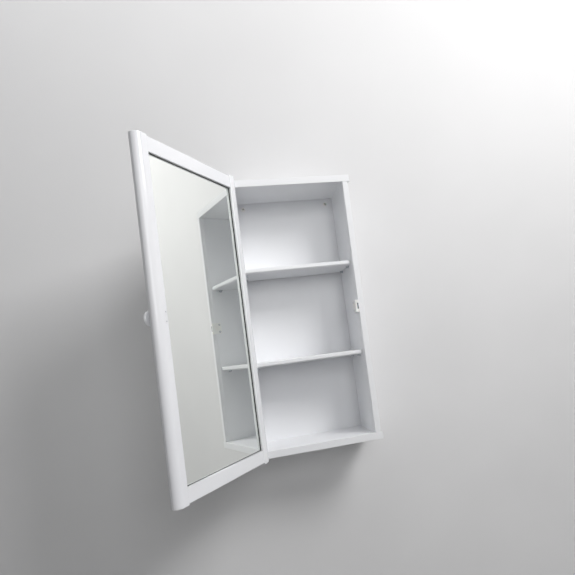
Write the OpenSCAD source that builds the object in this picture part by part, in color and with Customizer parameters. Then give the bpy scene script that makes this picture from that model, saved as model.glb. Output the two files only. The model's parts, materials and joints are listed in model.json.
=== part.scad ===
// Wall-hung medicine cabinet: a white lacquered box with two shelves and one pin-hinged door.
// The door is a frame of two round-edged stiles and two flat rails around two mirror panes.
//
// X runs across the cabinet, +Y points into the wall and +Z is up. The wall is the plane Y = 0.
// The origin is on the wall, midway between the two fixing holes. The door is drawn ajar.

/* [Cabinet] */
// Width across the top and bottom panels
cab_w = 285; // [240:5:450]
// Height over the top and bottom panels
cab_h = 620; // [480:5:800]
// Depth from the wall to the front edges
cab_d = 140; // [115:5:200]
// Thickness of the top and bottom panels
panel_t = 16; // [14:1:22]
// How far the top and bottom panels stand out past the sides
panel_overhang = 4; // [1:0.5:8]
// Thickness of a side panel
side_t = 16.5; // [15:0.5:22]
// Width of the shallow step along the front inner edge of a side
step_w = 3.5; // [2:0.5:4.5]
// Depth of that step, front to back
step_d = 5; // [3:0.5:8]
// Depth of the slope behind the step
slope_d = 6; // [4:0.5:10]

/* [Back] */
// Thickness of the back panel
back_t = 4; // [3:0.5:6]
// Air behind the back panel, which the two rails fill
back_inset = 10; // [8:0.5:14]
// How far the back panel reaches into the panels around it
rebate_w = 6; // [4:0.5:8]
// Height of the upper and lower rails
rail_back_h = 48; // [40:1:70]

/* [Wall fixing] */
// Radius of the hole for a wall screw
fix_hole_r = 2.75; // [2:0.25:3.5]
// Outer radius of the eyelet's tube
eyelet_r = 4; // [3.8:0.1:4.8]
// Radius of the eyelet's flange
eyelet_flange_r = 6; // [5.5:0.1:8]
// Thickness of the eyelet's flange
eyelet_flange_t = 1.2; // [0.8:0.1:2]
// From an eyelet's centre to the inner face of the side
eyelet_inset = 18; // [12:1:40]
// From an eyelet's centre to the underside of the top panel
eyelet_drop = 14; // [10:1:24]

/* [Shelves] */
// Thickness of a shelf
shelf_t = 10; // [8:0.5:14]
// Height of the lower shelf's top above the bottom panel
lower_shelf_z = 193; // [120:1:220]
// Height of the upper shelf's top above the bottom panel
upper_shelf_z = 404; // [250:1:430]
// From the cabinet's front plane to a shelf's front edge
shelf_setback = 11; // [10:0.5:30]
// Play at each end of a shelf
shelf_play = 1.5; // [0.5:0.5:3]
// Play between a shelf and the back panel
shelf_back_play = 1; // [0.5:0.5:4]
// Bevel under a shelf's front edge
shelf_bevel = 3.5; // [1:0.5:5]
// Radius of a shelf pin
pin_r = 2.5; // [2:0.25:3]
// Length of a shelf pin inside the side panel
pin_in = 8; // [6:0.5:10]
// Length of a shelf pin under the shelf
pin_out = 7; // [5:0.5:10]
// Thickness of the pin's flat top
pin_pad_t = 1.5; // [1:0.25:2]
// Width of the pin's flat top
pin_pad_w = 8; // [6:0.5:10]
// From a shelf's front or back edge to its pins
pin_inset = 22; // [16:1:35]

/* [Box joints] */
// Radius of a panel dowel
dowel_r = 4; // [3:0.5:5]
// Length of a panel dowel
dowel_len = 30; // [24:1:40]
// Wood left over the end of a panel dowel
dowel_cover = 4; // [3:0.5:6]
// Radius of a panel screw's shank
screw_r = 2; // [1.5:0.25:2.5]
// Length of a panel screw, head included
screw_len = 45; // [35:1:60]
// Radius of a panel screw's head
screw_head_r = 4; // [3.5:0.25:5]
// Radius of the plug over a panel screw
plug_r = 5.5; // [5:0.25:6.5]
// Thickness of that plug
plug_t = 1.5; // [1:0.25:2.5]
// From the front plane to the front panel screws
screw_front = 50; // [44:1:60]
// From the wall to the rear panel screws
screw_rear = 30; // [24:1:40]
// Back panel screws up each side
back_screw_rows = 3; // [2:1:5]
// Radius of a back panel screw
back_screw_r = 1.25; // [1:0.25:1.5]
// Length of a back panel screw under its head
back_screw_len = 14; // [10:1:20]
// Radius of a back panel screw's head
back_head_r = 2.5; // [2:0.25:3]
// Height of a back panel screw's head
back_head_t = 1.4; // [1:0.1:2]

/* [Door] */
// Angle that the door stands open at
door_open = 123; // [0:1:165]
// Thickness of the stiles
door_t = 21; // [19:0.5:26]
// Gap between the closed door and the cabinet
door_gap = 2.5; // [2:0.25:4]
// How far the door stands past the cabinet at each side
door_over = 4; // [0:0.5:6]
// How far the stiles stand past the top and bottom panels
stile_over = 2.5; // [1:0.25:4]
// Face width of a stile
stile_w = 25; // [24:0.5:32]
// Radius of a stile's edge at the outer face
stile_front_r = 8; // [6:0.5:9]
// Height of a rail
rail_h = 28; // [25:1:40]
// How far a rail's outer edge sits in from the stile's end
rail_in = 1.5; // [0.5:0.25:3]
// How far a rail's inner face sits below the stile's
rail_drop = 1.5; // [0.5:0.25:2]
// How far a rail's outer face sits below the stile's
rail_drop_out = 0.5; // [0.25:0.25:1]
// Depth of the glazing groove
groove_d = 7; // [5:0.5:7]
// Play between a pane and the bottom of the groove
pane_play = 1; // [0.5:0.25:2]
// From the stile's inner face to the glazing groove
groove_in = 5.75; // [3.5:0.25:6]
// Thickness of the inner glazing seal
seal_in_t = 1.25; // [1:0.25:3]
// Thickness of a mirror pane
glass_t = 3; // [2:0.5:4]
// Thickness of the board between the panes
core_t = 4; // [2:0.5:5]
// Thickness of the outer glazing seal
seal_out_t = 1; // [0.5:0.25:1.5]
// How far a seal shows past the frame
seal_show = 0.5; // [0.25:0.25:1]
// Radius of a frame dowel
frame_dowel_r = 3; // [2:0.5:3.5]
// Length of a frame dowel on each side of the shoulder
frame_dowel_len = 15.5; // [13:0.5:18]
// From a rail's outer edge to its dowel
frame_dowel_z = 14; // [12:0.5:16]

/* [Hinge] */
// From the door's hinge edge to the pivot
pivot_inset = 13; // [11:0.5:13]
// From the stile's outer face to the pivot
pivot_back = 8.5; // [7:0.5:9.5]
// Radius of the hinge pin
hinge_pin_r = 2.5; // [2:0.25:3]
// Running clearance around the hinge pin
hinge_clear = 0.05; // [0.02:0.01:0.1]
// Outer radius of the hinge bush
bush_r = 4; // [3.75:0.25:4.5]
// Length of the hinge bush
bush_len = 9; // [7:0.5:10]
// Length of pin inside the bush
hinge_pin_in = 8; // [6:0.5:9]
// Radius of the hinge pin's head
hinge_head_r = 4; // [3.5:0.25:5]
// Thickness of the hinge pin's head
hinge_head_t = 1; // [0.6:0.1:1.6]
// Thickness of the washer on the stile's end
washer_t = 0.6; // [0.4:0.1:1]
// Air between the washer and the stile's end
washer_air = 0.2; // [0.1:0.05:0.4]
// Thickness of the hinge bracket's plate
bracket_t = 1.6; // [1.2:0.1:2.2]
// Width of the hinge bracket
bracket_w = 17; // [14:0.5:20]
// Length of the hinge bracket on the panel
bracket_len = 32; // [28:1:36]
// From the front plane to the bracket's two screws
bracket_screw_at = [11, 25]; // [10:1:26]
// From the front plane to the bracket's bend
bracket_set = 0.6; // [0.4:0.1:1.5]
// Radius of a small wood screw's shank
small_screw_r = 1.5; // [1.25:0.25:1.75]
// Length of a small wood screw, head included
small_screw_len = 12; // [9:0.5:14]
// Radius of a small wood screw's head
small_head_r = 2.8; // [2.4:0.1:3.2]

/* [Catch] */
// Height of the magnetic catch
catch_h = 28; // [24:1:40]
// How far the catch stands out from the side
catch_w = 5; // [4:0.5:8]
// Length of the catch, front to back, inside the cabinet
catch_len = 22; // [18:1:30]
// From the catch's rear and end faces to its screws
catch_screw_inset = 5; // [4.5:0.25:6]
// Air between the catch and the strike when the door is shut
catch_air = 0.3; // [0.2:0.05:0.5]
// Width of the magnet
magnet_w = 2.4; // [2:0.1:2.6]
// Height of the magnet
magnet_h = 14; // [10:1:20]
// Depth of the magnet
magnet_d = 8; // [6:0.5:12]
// Thickness of a pole plate
pole_t = 0.8; // [0.6:0.1:1]
// Wall between the magnet's pocket and the side panel
magnet_wall = 0.4; // [0.4:0.1:1]
// From the edge of the frame's opening to the strike plate
strike_edge = 0.5; // [0.5:0.25:1.5]
// Width of the strike plate
strike_w = 6.5; // [6:0.25:8]
// Height of the strike plate
strike_h = 24; // [20:1:36]
// Thickness of the strike plate
strike_t = 1; // [0.6:0.1:1.5]
// From the strike plate's ends to its screws
strike_screw_inset = 4; // [3:0.5:6]
// Radius of the strike's screws
strike_screw_r = 0.8; // [0.6:0.1:1]
// Length of the strike's screws, head included
strike_screw_len = 3; // [2.5:0.25:3.5]

/* [Knob] */
// Radius of the knob
knob_r = 14; // [10:0.5:18]
// Thickness of the knob's head
knob_head_t = 6.5; // [6.5:0.5:14]
// Rounding of the knob's head
knob_round = 3; // [1.5:0.25:3]
// Radius of the knob's neck
knob_neck_r = 6; // [5:0.5:6]
// Length of the knob's neck
knob_neck = 4.5; // [4:0.5:14]
// From the door's free edge to the knob's centre
knob_inset = 15; // [12:0.5:15.5]
// Radius of the knob's stud
stud_r = 2; // [1.5:0.25:2.5]
// Length of stud in the stile and in the knob
stud_in = 8; // [6:0.5:9]

/* [Hidden] */
$fn = 64;
eps = 0.01;

// Box: inner faces and the places of the panels
side_out = cab_w / 2 - panel_overhang;
side_in = side_out - side_t;
inner_w = 2 * side_in;
inner_z0 = panel_t;
inner_z1 = cab_h - panel_t;
front_y = -cab_d;
back_front_y = -back_inset - back_t;
hang_z = inner_z1 - eyelet_drop;
eyelet_x = side_in - eyelet_inset;
side_mid = side_out - (side_t - rebate_w) / 2;
mid_z = cab_h / 2;

// Shelves
shelf_y0 = front_y + shelf_setback;
shelf_y1 = back_front_y - shelf_back_play;
shelf_half = side_in - shelf_play;

// Door: outline, glazing layers and the pivot, as it stands when shut
door_y0 = front_y - door_gap;
door_x0 = -cab_w / 2 - door_over;
door_x1 = cab_w / 2 + door_over;
stile_z0 = -stile_over;
stile_z1 = cab_h + stile_over;
rail_z0 = stile_z0 + rail_in;
rail_z1 = stile_z1 - rail_in;
sight_x0 = door_x0 + stile_w;
sight_x1 = door_x1 - stile_w;
sight_z0 = rail_z0 + rail_h;
sight_z1 = rail_z1 - rail_h;
pane_grow = groove_d - pane_play;
glass_in_at = groove_in + seal_in_t;
core_at = glass_in_at + glass_t;
glass_out_at = core_at + core_t;
seal_out_at = glass_out_at + glass_t;
groove_out = seal_out_at + seal_out_t;
stile_inner_r = door_t - stile_front_r;
frame_dowel_at = (groove_in + groove_out) / 2;
pivot_x = door_x0 + pivot_inset;
pivot_y = door_y0 - door_t + pivot_back;

// Hinge bracket: height of its ear above the panel
ear_z = stile_over + washer_air + washer_t;
bracket_screw_y = [for (at = bracket_screw_at) front_y + at];

// Catch and knob
catch_y0 = door_y0 + catch_air;
catch_y1 = front_y + catch_len;
catch_x0 = side_in - catch_w;
step_x = side_in + step_w;
magnet_x = step_x - magnet_wall - pole_t - magnet_w / 2;
strike_x = sight_x1 + strike_edge + strike_w / 2;
catch_screw_y = catch_y1 - catch_screw_inset;
knob_x = door_x1 - knob_inset;
screw_ys = [front_y + screw_front, -screw_rear];
dowel_y = (screw_ys[0] + screw_ys[1]) / 2;
back_screw_zs = [for (step = [1:back_screw_rows]) cab_h * step / (back_screw_rows + 1)];

// Puts the cabinet's own coordinates, which rise from its underside, into the part's frame.
module in_frame() {
    translate([0, 0, -hang_z]) children();
}

// Swings what is drawn for the shut door out to where the door stands.
module swung() {
    in_frame()
        translate([pivot_x, pivot_y, 0])
            rotate([0, 0, -door_open])
                translate([-pivot_x, -pivot_y, 0])
                    children();
}

// A box between two corners.
module span(low, high) {
    translate(low) cube(high - low);
}

// A rod along +X, +Y or +Z, from a point.
module rod(at, r, length, turn = [0, 0, 0]) {
    translate(at) rotate(turn) cylinder(r = r, h = length);
}

// A layer of the door, between two depths measured outwards from the stile's inner face.
module door_layer(at, thick, x0, x1, z0, z1) {
    span([x0, door_y0 - at - thick, z0], [x1, door_y0 - at, z1]);
}

// Copies to the left and to the right.
module both_sides() {
    for (side = [0, 1]) mirror([side, 0, 0]) children();
}

// Copies at the top and at the bottom of the cabinet, the lower one turned over.
module both_ends() {
    children();
    translate([0, 0, cab_h]) mirror([0, 0, 1]) children();
}

// ---- Box ----

// Outline of the right side panel, seen from above.
module side_outline() {
    polygon([
        [side_out, front_y],
        [side_out, 0],
        [side_in + rebate_w, 0],
        [side_in + rebate_w, back_front_y],
        [side_in, back_front_y],
        [side_in, front_y + step_d + slope_d],
        [step_x, front_y + step_d],
        [step_x, front_y]]);
}

module side_panel() {
    difference() {
        translate([0, 0, inner_z0]) linear_extrude(inner_z1 - inner_z0) side_outline();
        both_ends() panel_dowel_space();
        both_ends() panel_screw_space();
        for (top = [lower_shelf_z, upper_shelf_z]) shelf_peg_space(top);
        back_screw_space();
    }
}

module side_left() {
    color("white") in_frame() mirror([1, 0, 0]) side_panel();
}

module side_right() {
    color("white") in_frame() difference() {
        side_panel();
        catch_screw_space();
    }
}

// The upper panel; the lower one is the same panel turned over.
module end_panel() {
    difference() {
        span([-cab_w / 2, front_y, inner_z1], [cab_w / 2, 0, cab_h]);
        span([-side_in - rebate_w, back_front_y, inner_z1 - eps],
             [side_in + rebate_w, eps, inner_z1 + rebate_w]);
        both_sides() panel_dowel_space();
        both_sides() panel_screw_space();
        bracket_screw_space();
    }
}

module top_panel() {
    color("white") in_frame() end_panel();
}

module bottom_panel() {
    color("white") in_frame() translate([0, 0, cab_h]) mirror([0, 0, 1]) end_panel();
}

module back_panel() {
    color("whitesmoke") in_frame() difference() {
        span([-side_in - rebate_w, back_front_y, inner_z0 - rebate_w],
             [side_in + rebate_w, -back_inset, inner_z1 + rebate_w]);
        both_sides() eyelet_space();
        both_sides() back_screw_space();
    }
}

// A rail that fills the space between the back panel and the wall.
module back_rail(z0) {
    span([-side_in - rebate_w, -back_inset, z0], [side_in + rebate_w, 0, z0 + rail_back_h]);
}

module hanging_rail() {
    color("burlywood") in_frame() difference() {
        back_rail(inner_z1 + rebate_w - rail_back_h);
        both_sides() eyelet_space();
    }
}

module lower_rail() {
    color("burlywood") in_frame() back_rail(inner_z0 - rebate_w);
}

module eyelet_space() {
    rod([eyelet_x, back_front_y - eps, hang_z], eyelet_r, 2 * eps - back_front_y, [-90, 0, 0]);
}

module wall_eyelet() {
    difference() {
        union() {
            rod([eyelet_x, back_front_y, hang_z], eyelet_r, -back_front_y, [-90, 0, 0]);
            rod([eyelet_x, back_front_y - eyelet_flange_t, hang_z], eyelet_flange_r,
                eyelet_flange_t, [-90, 0, 0]);
        }
        rod([eyelet_x, back_front_y - eyelet_flange_t - eps, hang_z], fix_hole_r,
            eyelet_flange_t - back_front_y + 2 * eps, [-90, 0, 0]);
    }
}

module wall_eyelets() {
    color("white") in_frame() both_sides() wall_eyelet();
}

// ---- Shelves ----

module shelf(top) {
    translate([-shelf_half, 0, inner_z0 + top])
        rotate([90, 0, 90])
            linear_extrude(2 * shelf_half)
                polygon([
                    [shelf_y1, 0],
                    [shelf_y0, 0],
                    [shelf_y0, shelf_bevel - shelf_t],
                    [shelf_y0 + shelf_bevel, -shelf_t],
                    [shelf_y1, -shelf_t]]);
}

module shelf_upper() {
    color("white") in_frame() shelf(upper_shelf_z);
}

module shelf_lower() {
    color("white") in_frame() shelf(lower_shelf_z);
}

// Copies to a shelf's front and rear pins on the right.
module at_pins(top) {
    for (y = [shelf_y0 + pin_inset, shelf_y1 - pin_inset])
        translate([side_in, y, inner_z0 + top - shelf_t]) children();
}

module shelf_peg_space(top) {
    at_pins(top) rod([-eps, 0, -pin_r], pin_r, pin_in + eps, [0, 90, 0]);
}

module shelf_pin() {
    rod([-pin_out, 0, -pin_r], pin_r, pin_in + pin_out, [0, 90, 0]);
    span([-pin_out, -pin_pad_w / 2, -pin_pad_t], [0, pin_pad_w / 2, 0]);
}

module shelf_pins(top) {
    both_sides() at_pins(top) shelf_pin();
}

module shelf_pins_upper() {
    color("silver") in_frame() shelf_pins(upper_shelf_z);
}

module shelf_pins_lower() {
    color("silver") in_frame() shelf_pins(lower_shelf_z);
}

// ---- Box fasteners, drawn for the upper right joint ----

module panel_dowel() {
    rod([side_mid, dowel_y, cab_h - dowel_cover - dowel_len], dowel_r, dowel_len);
}

module panel_dowel_space() {
    panel_dowel();
}

module panel_dowels() {
    color("burlywood") in_frame() both_ends() both_sides() panel_dowel();
}

// A countersunk screw along +Z whose flat head is at z = 0.
module wood_screw(r, head_r, length) {
    rod([0, 0, -length], r, length);
    translate([0, 0, r - head_r]) cylinder(r1 = r, r2 = head_r, h = head_r - r);
}

module at_panel_screws() {
    for (y = screw_ys) translate([side_mid, y, cab_h]) children();
}

module panel_screw_space() {
    at_panel_screws() {
        translate([0, 0, -plug_t]) wood_screw(screw_r, screw_head_r, screw_len);
        rod([0, 0, -plug_t], plug_r, plug_t + eps);
    }
}

module panel_screws() {
    color("silver") in_frame() both_ends() both_sides() at_panel_screws()
        translate([0, 0, -plug_t]) wood_screw(screw_r, screw_head_r, screw_len);
}

module screw_plugs() {
    color("white") in_frame() both_ends() both_sides() at_panel_screws()
        rod([0, 0, -plug_t], plug_r, plug_t);
}

module at_back_screws() {
    for (z = back_screw_zs) translate([side_in + rebate_w / 2, -back_inset, z]) children();
}

module back_screw_space() {
    at_back_screws() rod([0, eps, 0], back_screw_r, back_screw_len + eps, [90, 0, 0]);
}

module back_screw() {
    rod([0, 0, 0], back_screw_r, back_screw_len, [90, 0, 0]);
    rod([0, 0, 0], back_head_r, back_head_t, [-90, 0, 0]);
}

module back_screws() {
    color("silver") in_frame() both_sides() at_back_screws() back_screw();
}

// ---- Hinge, drawn for the upper end ----

// Copies to the bracket's two screws, on the top of its plate.
module at_bracket_screws() {
    for (y = bracket_screw_y) translate([pivot_x, y, cab_h + bracket_t]) children();
}

module bracket_screw_space() {
    at_bracket_screws() rod([0, 0, -small_screw_len], small_screw_r, small_screw_len);
}

module hinge_bracket() {
    difference() {
        union() {
            span([pivot_x - bracket_w / 2, front_y + bracket_set, cab_h],
                 [pivot_x + bracket_w / 2, front_y + bracket_len, cab_h + bracket_t]);
            span([pivot_x - bracket_w / 2, front_y + bracket_set, cab_h],
                 [pivot_x + bracket_w / 2, front_y + bracket_set + bracket_t,
                  cab_h + ear_z + bracket_t]);
            span([pivot_x - bracket_w / 2, pivot_y, cab_h + ear_z],
                 [pivot_x + bracket_w / 2, front_y + bracket_set + bracket_t,
                  cab_h + ear_z + bracket_t]);
            rod([pivot_x, pivot_y, cab_h + ear_z], bracket_w / 2, bracket_t);
        }
        rod([pivot_x, pivot_y, cab_h + ear_z - eps], hinge_pin_r, bracket_t + 2 * eps);
        at_bracket_screws() wood_screw(small_screw_r, small_head_r, small_screw_len);
    }
}

module hinge_bracket_upper() {
    color("white") in_frame() hinge_bracket();
}

module hinge_bracket_lower() {
    color("white") in_frame() translate([0, 0, cab_h]) mirror([0, 0, 1]) hinge_bracket();
}

module hinge_pin() {
    pin_foot = cab_h + stile_over - hinge_pin_in;
    rod([pivot_x, pivot_y, pin_foot], hinge_pin_r, cab_h + ear_z + bracket_t - pin_foot);
    rod([pivot_x, pivot_y, cab_h + ear_z + bracket_t], hinge_head_r, hinge_head_t);
}

module hinge_pins() {
    color("silver") in_frame() both_ends() hinge_pin();
}

module hinge_washer() {
    difference() {
        rod([pivot_x, pivot_y, cab_h + ear_z - washer_t], bush_r, washer_t);
        rod([pivot_x, pivot_y, cab_h + ear_z - washer_t - eps], hinge_pin_r, washer_t + 2 * eps);
    }
}

module hinge_washers() {
    color("ivory") in_frame() both_ends() hinge_washer();
}

module bracket_screws() {
    color("silver") in_frame() both_ends() at_bracket_screws()
        wood_screw(small_screw_r, small_head_r, small_screw_len);
}

module bush_space() {
    rod([pivot_x, pivot_y, stile_z1 - bush_len], bush_r, bush_len + eps);
}

module hinge_bushes() {
    color("ivory") swung() both_ends() difference() {
        rod([pivot_x, pivot_y, stile_z1 - bush_len], bush_r, bush_len);
        rod([pivot_x, pivot_y, stile_z1 - bush_len - eps], hinge_pin_r + hinge_clear,
            bush_len + 2 * eps);
    }
}

// ---- Catch ----

// Outline of the catch, which fits the stepped front of the side.
module catch_outline() {
    polygon([
        [catch_x0, catch_y0],
        [step_x, catch_y0],
        [step_x, front_y + step_d],
        [side_in, front_y + step_d + slope_d],
        [side_in, catch_y1],
        [catch_x0, catch_y1]]);
}

// The pocket for the magnet with a pole plate on each side.
module magnet_block(half_w) {
    span([magnet_x - half_w, catch_y0, mid_z - magnet_h / 2],
         [magnet_x + half_w, catch_y0 + magnet_d, mid_z + magnet_h / 2]);
}

module at_catch_screws() {
    for (end = [-1, 1])
        translate([catch_x0, catch_screw_y, mid_z + end * (catch_h / 2 - catch_screw_inset)])
            rotate([0, -90, 0])
                children();
}

module catch_screw_space() {
    at_catch_screws() rod([0, 0, -small_screw_len], small_screw_r, small_screw_len);
}

module catch_housing() {
    color("white") in_frame() difference() {
        translate([0, 0, mid_z - catch_h / 2]) linear_extrude(catch_h) catch_outline();
        translate([0, -eps, 0]) magnet_block(magnet_w / 2 + pole_t);
        magnet_block(magnet_w / 2 + pole_t);
        at_catch_screws() wood_screw(small_screw_r, small_head_r, small_screw_len);
    }
}

module catch_magnet() {
    color("dimgray") in_frame() magnet_block(magnet_w / 2);
}

module catch_poles() {
    color("silver") in_frame()
        for (x = [magnet_x - magnet_w / 2 - pole_t, magnet_x + magnet_w / 2])
            span([x, catch_y0, mid_z - magnet_h / 2],
                 [x + pole_t, catch_y0 + magnet_d, mid_z + magnet_h / 2]);
}

module catch_screws() {
    color("silver") in_frame() at_catch_screws()
        wood_screw(small_screw_r, small_head_r, small_screw_len);
}

// ---- Door ----

// Section of the hinge stile, seen from above: round at the edge, flat towards the pane.
module stile_outline() {
    translate([door_x0, door_y0]) mirror([0, 1]) {
        intersection() {
            translate([stile_inner_r, stile_inner_r]) circle(r = stile_inner_r);
            square(stile_inner_r);
        }
        translate([stile_front_r, stile_inner_r]) circle(r = stile_front_r);
        translate([stile_front_r, stile_inner_r])
            square([stile_w - stile_front_r, stile_front_r]);
        translate([stile_inner_r, 0]) square([stile_w - stile_inner_r, door_t]);
    }
}

// Both grooves for the panes, between the stiles' and the rails' groove bottoms.
module groove_space() {
    door_layer(groove_in, groove_out - groove_in,
               sight_x0 - groove_d, sight_x1 + groove_d, rail_z0, rail_z1);
}

module stile() {
    difference() {
        translate([0, 0, stile_z0]) linear_extrude(stile_z1 - stile_z0) stile_outline();
        groove_space();
        both_ends() frame_dowel();
    }
}

module stile_hinge() {
    color("white") swung() difference() {
        stile();
        both_ends() bush_space();
    }
}

module stile_free() {
    color("white") swung() difference() {
        mirror([1, 0, 0]) stile();
        strike_space();
        strike_screw_space();
        stud_space();
    }
}

// The upper rail with a tenon at each end and a groove in its lower edge.
module rail() {
    difference() {
        union() {
            door_layer(rail_drop, door_t - rail_drop - rail_drop_out,
                       sight_x0, sight_x1, sight_z1, rail_z1);
            door_layer(groove_in, groove_out - groove_in,
                       sight_x0 - pane_grow, sight_x1 + pane_grow, sight_z1, rail_z1);
        }
        door_layer(groove_in, groove_out - groove_in,
                   sight_x0 - groove_d, sight_x1 + groove_d, sight_z1 - eps, sight_z1 + groove_d);
        both_sides() frame_dowel();
    }
}

module rail_top() {
    color("white") swung() rail();
}

module rail_bottom() {
    color("white") swung() translate([0, 0, cab_h]) mirror([0, 0, 1]) rail();
}

// The dowel of the upper hinge-side corner.
module frame_dowel() {
    rod([sight_x0 - frame_dowel_len, door_y0 - frame_dowel_at, rail_z1 - frame_dowel_z],
        frame_dowel_r, 2 * frame_dowel_len, [0, 90, 0]);
}

module frame_dowels() {
    color("burlywood") swung() both_ends() both_sides() frame_dowel();
}

// A sheet that fills the frame's grooves, between two depths.
module pane(at, thick) {
    door_layer(at, thick, sight_x0 - pane_grow, sight_x1 + pane_grow,
               sight_z0 - pane_grow, sight_z1 + pane_grow);
}

// A flat ring around the edge of a pane.
module seal(at, thick) {
    difference() {
        pane(at, thick);
        door_layer(at - eps, thick + 2 * eps, sight_x0 + seal_show, sight_x1 - seal_show,
                   sight_z0 + seal_show, sight_z1 - seal_show);
    }
}

module mirror_inner() {
    color("lightsteelblue") swung() pane(glass_in_at, glass_t);
}

module mirror_outer() {
    color("lightsteelblue") swung() pane(glass_out_at, glass_t);
}

module door_core() {
    color("burlywood") swung() pane(core_at, core_t);
}

module seal_inner() {
    color("black") swung() seal(groove_in, seal_in_t);
}

module seal_outer() {
    color("black") swung() seal(seal_out_at, seal_out_t);
}

module strike_block() {
    door_layer(0, strike_t, strike_x - strike_w / 2, strike_x + strike_w / 2,
               mid_z - strike_h / 2, mid_z + strike_h / 2);
}

module strike_space() {
    strike_block();
    translate([0, eps, 0]) strike_block();
}

module at_strike_screws() {
    for (end = [-1, 1])
        translate([strike_x, door_y0, mid_z + end * (strike_h / 2 - strike_screw_inset)])
            rotate([-90, 0, 0])
                children();
}

module strike_screw_space() {
    at_strike_screws() rod([0, 0, -strike_screw_len], strike_screw_r, strike_screw_len);
}

module strike_screw() {
    wood_screw(strike_screw_r, strike_screw_r + strike_t / 2, strike_screw_len);
}

module strike_plate() {
    color("gainsboro") swung() difference() {
        strike_block();
        at_strike_screws() strike_screw();
    }
}

module strike_screws() {
    color("silver") swung() at_strike_screws() strike_screw();
}

// ---- Knob ----

// Copies to the knob's seat, with +Z pointing out of the door.
module at_knob() {
    translate([knob_x, door_y0 - door_t, mid_z]) rotate([90, 0, 0]) children();
}

module stud_space() {
    at_knob() rod([0, 0, -stud_in], stud_r, stud_in + eps);
}

// Half section of the knob: a neck and a head with rounded rims.
module knob_section() {
    square([knob_neck_r, knob_neck + knob_round]);
    translate([0, knob_neck]) square([knob_r - knob_round, knob_head_t]);
    translate([0, knob_neck + knob_round])
        square([knob_r, knob_head_t - 2 * knob_round]);
    for (z = [knob_round, knob_head_t - knob_round])
        translate([knob_r - knob_round, knob_neck + z]) circle(r = knob_round);
}

module knob() {
    color("white") swung() at_knob() difference() {
        rotate_extrude() knob_section();
        rod([0, 0, -eps], stud_r, stud_in + eps);
    }
}

module knob_stud() {
    color("silver") swung() at_knob() rod([0, 0, -stud_in], stud_r, 2 * stud_in);
}

side_left();
side_right();
top_panel();
bottom_panel();
back_panel();
hanging_rail();
lower_rail();
wall_eyelets();
shelf_upper();
shelf_lower();
shelf_pins_upper();
shelf_pins_lower();
panel_dowels();
panel_screws();
screw_plugs();
back_screws();
hinge_bracket_upper();
hinge_bracket_lower();
hinge_pins();
hinge_washers();
bracket_screws();
catch_housing();
catch_magnet();
catch_poles();
catch_screws();
stile_hinge();
stile_free();
rail_top();
rail_bottom();
frame_dowels();
mirror_inner();
mirror_outer();
door_core();
seal_inner();
seal_outer();
hinge_bushes();
strike_plate();
strike_screws();
knob();
knob_stud();
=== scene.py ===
"""Looks of a wall-hung medicine cabinet: a white lacquered box with two shelves and a framed mirror door.

Every piece is drawn with the door shut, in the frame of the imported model, and the door's pieces are then
swung out to where the door stands at rest.
"""

import json
import logging
import math
from dataclasses import dataclass, field
from enum import Enum
from typing import Any, Sequence

import bmesh
import bpy
from mathutils import Euler, Matrix, Vector

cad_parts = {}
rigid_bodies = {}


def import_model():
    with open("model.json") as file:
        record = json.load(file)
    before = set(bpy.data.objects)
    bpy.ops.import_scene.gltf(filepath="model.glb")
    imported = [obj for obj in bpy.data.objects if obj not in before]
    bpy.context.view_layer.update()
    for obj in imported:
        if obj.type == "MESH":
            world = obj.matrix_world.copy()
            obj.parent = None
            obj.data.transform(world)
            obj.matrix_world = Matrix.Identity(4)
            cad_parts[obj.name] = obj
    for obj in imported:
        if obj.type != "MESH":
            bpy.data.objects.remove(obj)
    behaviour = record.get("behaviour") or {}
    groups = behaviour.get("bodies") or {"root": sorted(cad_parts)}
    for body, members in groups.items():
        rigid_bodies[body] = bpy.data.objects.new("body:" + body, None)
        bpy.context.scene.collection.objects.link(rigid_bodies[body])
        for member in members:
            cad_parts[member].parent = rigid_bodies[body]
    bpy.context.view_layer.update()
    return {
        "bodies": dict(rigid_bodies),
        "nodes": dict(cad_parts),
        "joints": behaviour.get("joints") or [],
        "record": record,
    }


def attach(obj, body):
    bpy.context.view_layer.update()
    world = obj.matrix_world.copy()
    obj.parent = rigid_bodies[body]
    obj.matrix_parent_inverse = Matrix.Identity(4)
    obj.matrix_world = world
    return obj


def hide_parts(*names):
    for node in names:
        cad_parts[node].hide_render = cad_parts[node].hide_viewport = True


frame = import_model()

MM = 0.001
# Between these the random patterns keep nearly all of their values.
PATTERN_LOW, PATTERN_HIGH = 0.3, 0.7
# How far apart the bands of the wave pattern lie at scale 1.
BAND_GAP = 0.2 * math.pi
SHARP_DEG = 40
LOG = logging.getLogger("cabinet")


class Body(Enum):
    """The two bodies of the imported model."""

    CABINET = "cabinet"
    DOOR = "door"


class Axis(Enum):
    """A direction to extrude along, with the two directions of the outline."""

    X = (1, 2, 0)
    Y = (0, 2, 1)
    Z = (0, 1, 2)


class Facing(Enum):
    """Turns, in radians, that point a small part's own +Z out of the cabinet's faces."""

    UP = (0.0, 0.0, 0.0)
    DOWN = (math.pi, 0.0, 0.0)
    FRONT = (math.pi / 2, 0.0, 0.0)
    BACK = (-math.pi / 2, 0.0, 0.0)
    LEFT = (0.0, -math.pi / 2, 0.0)
    HALF_TURN = (0.0, 0.0, math.pi)


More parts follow.
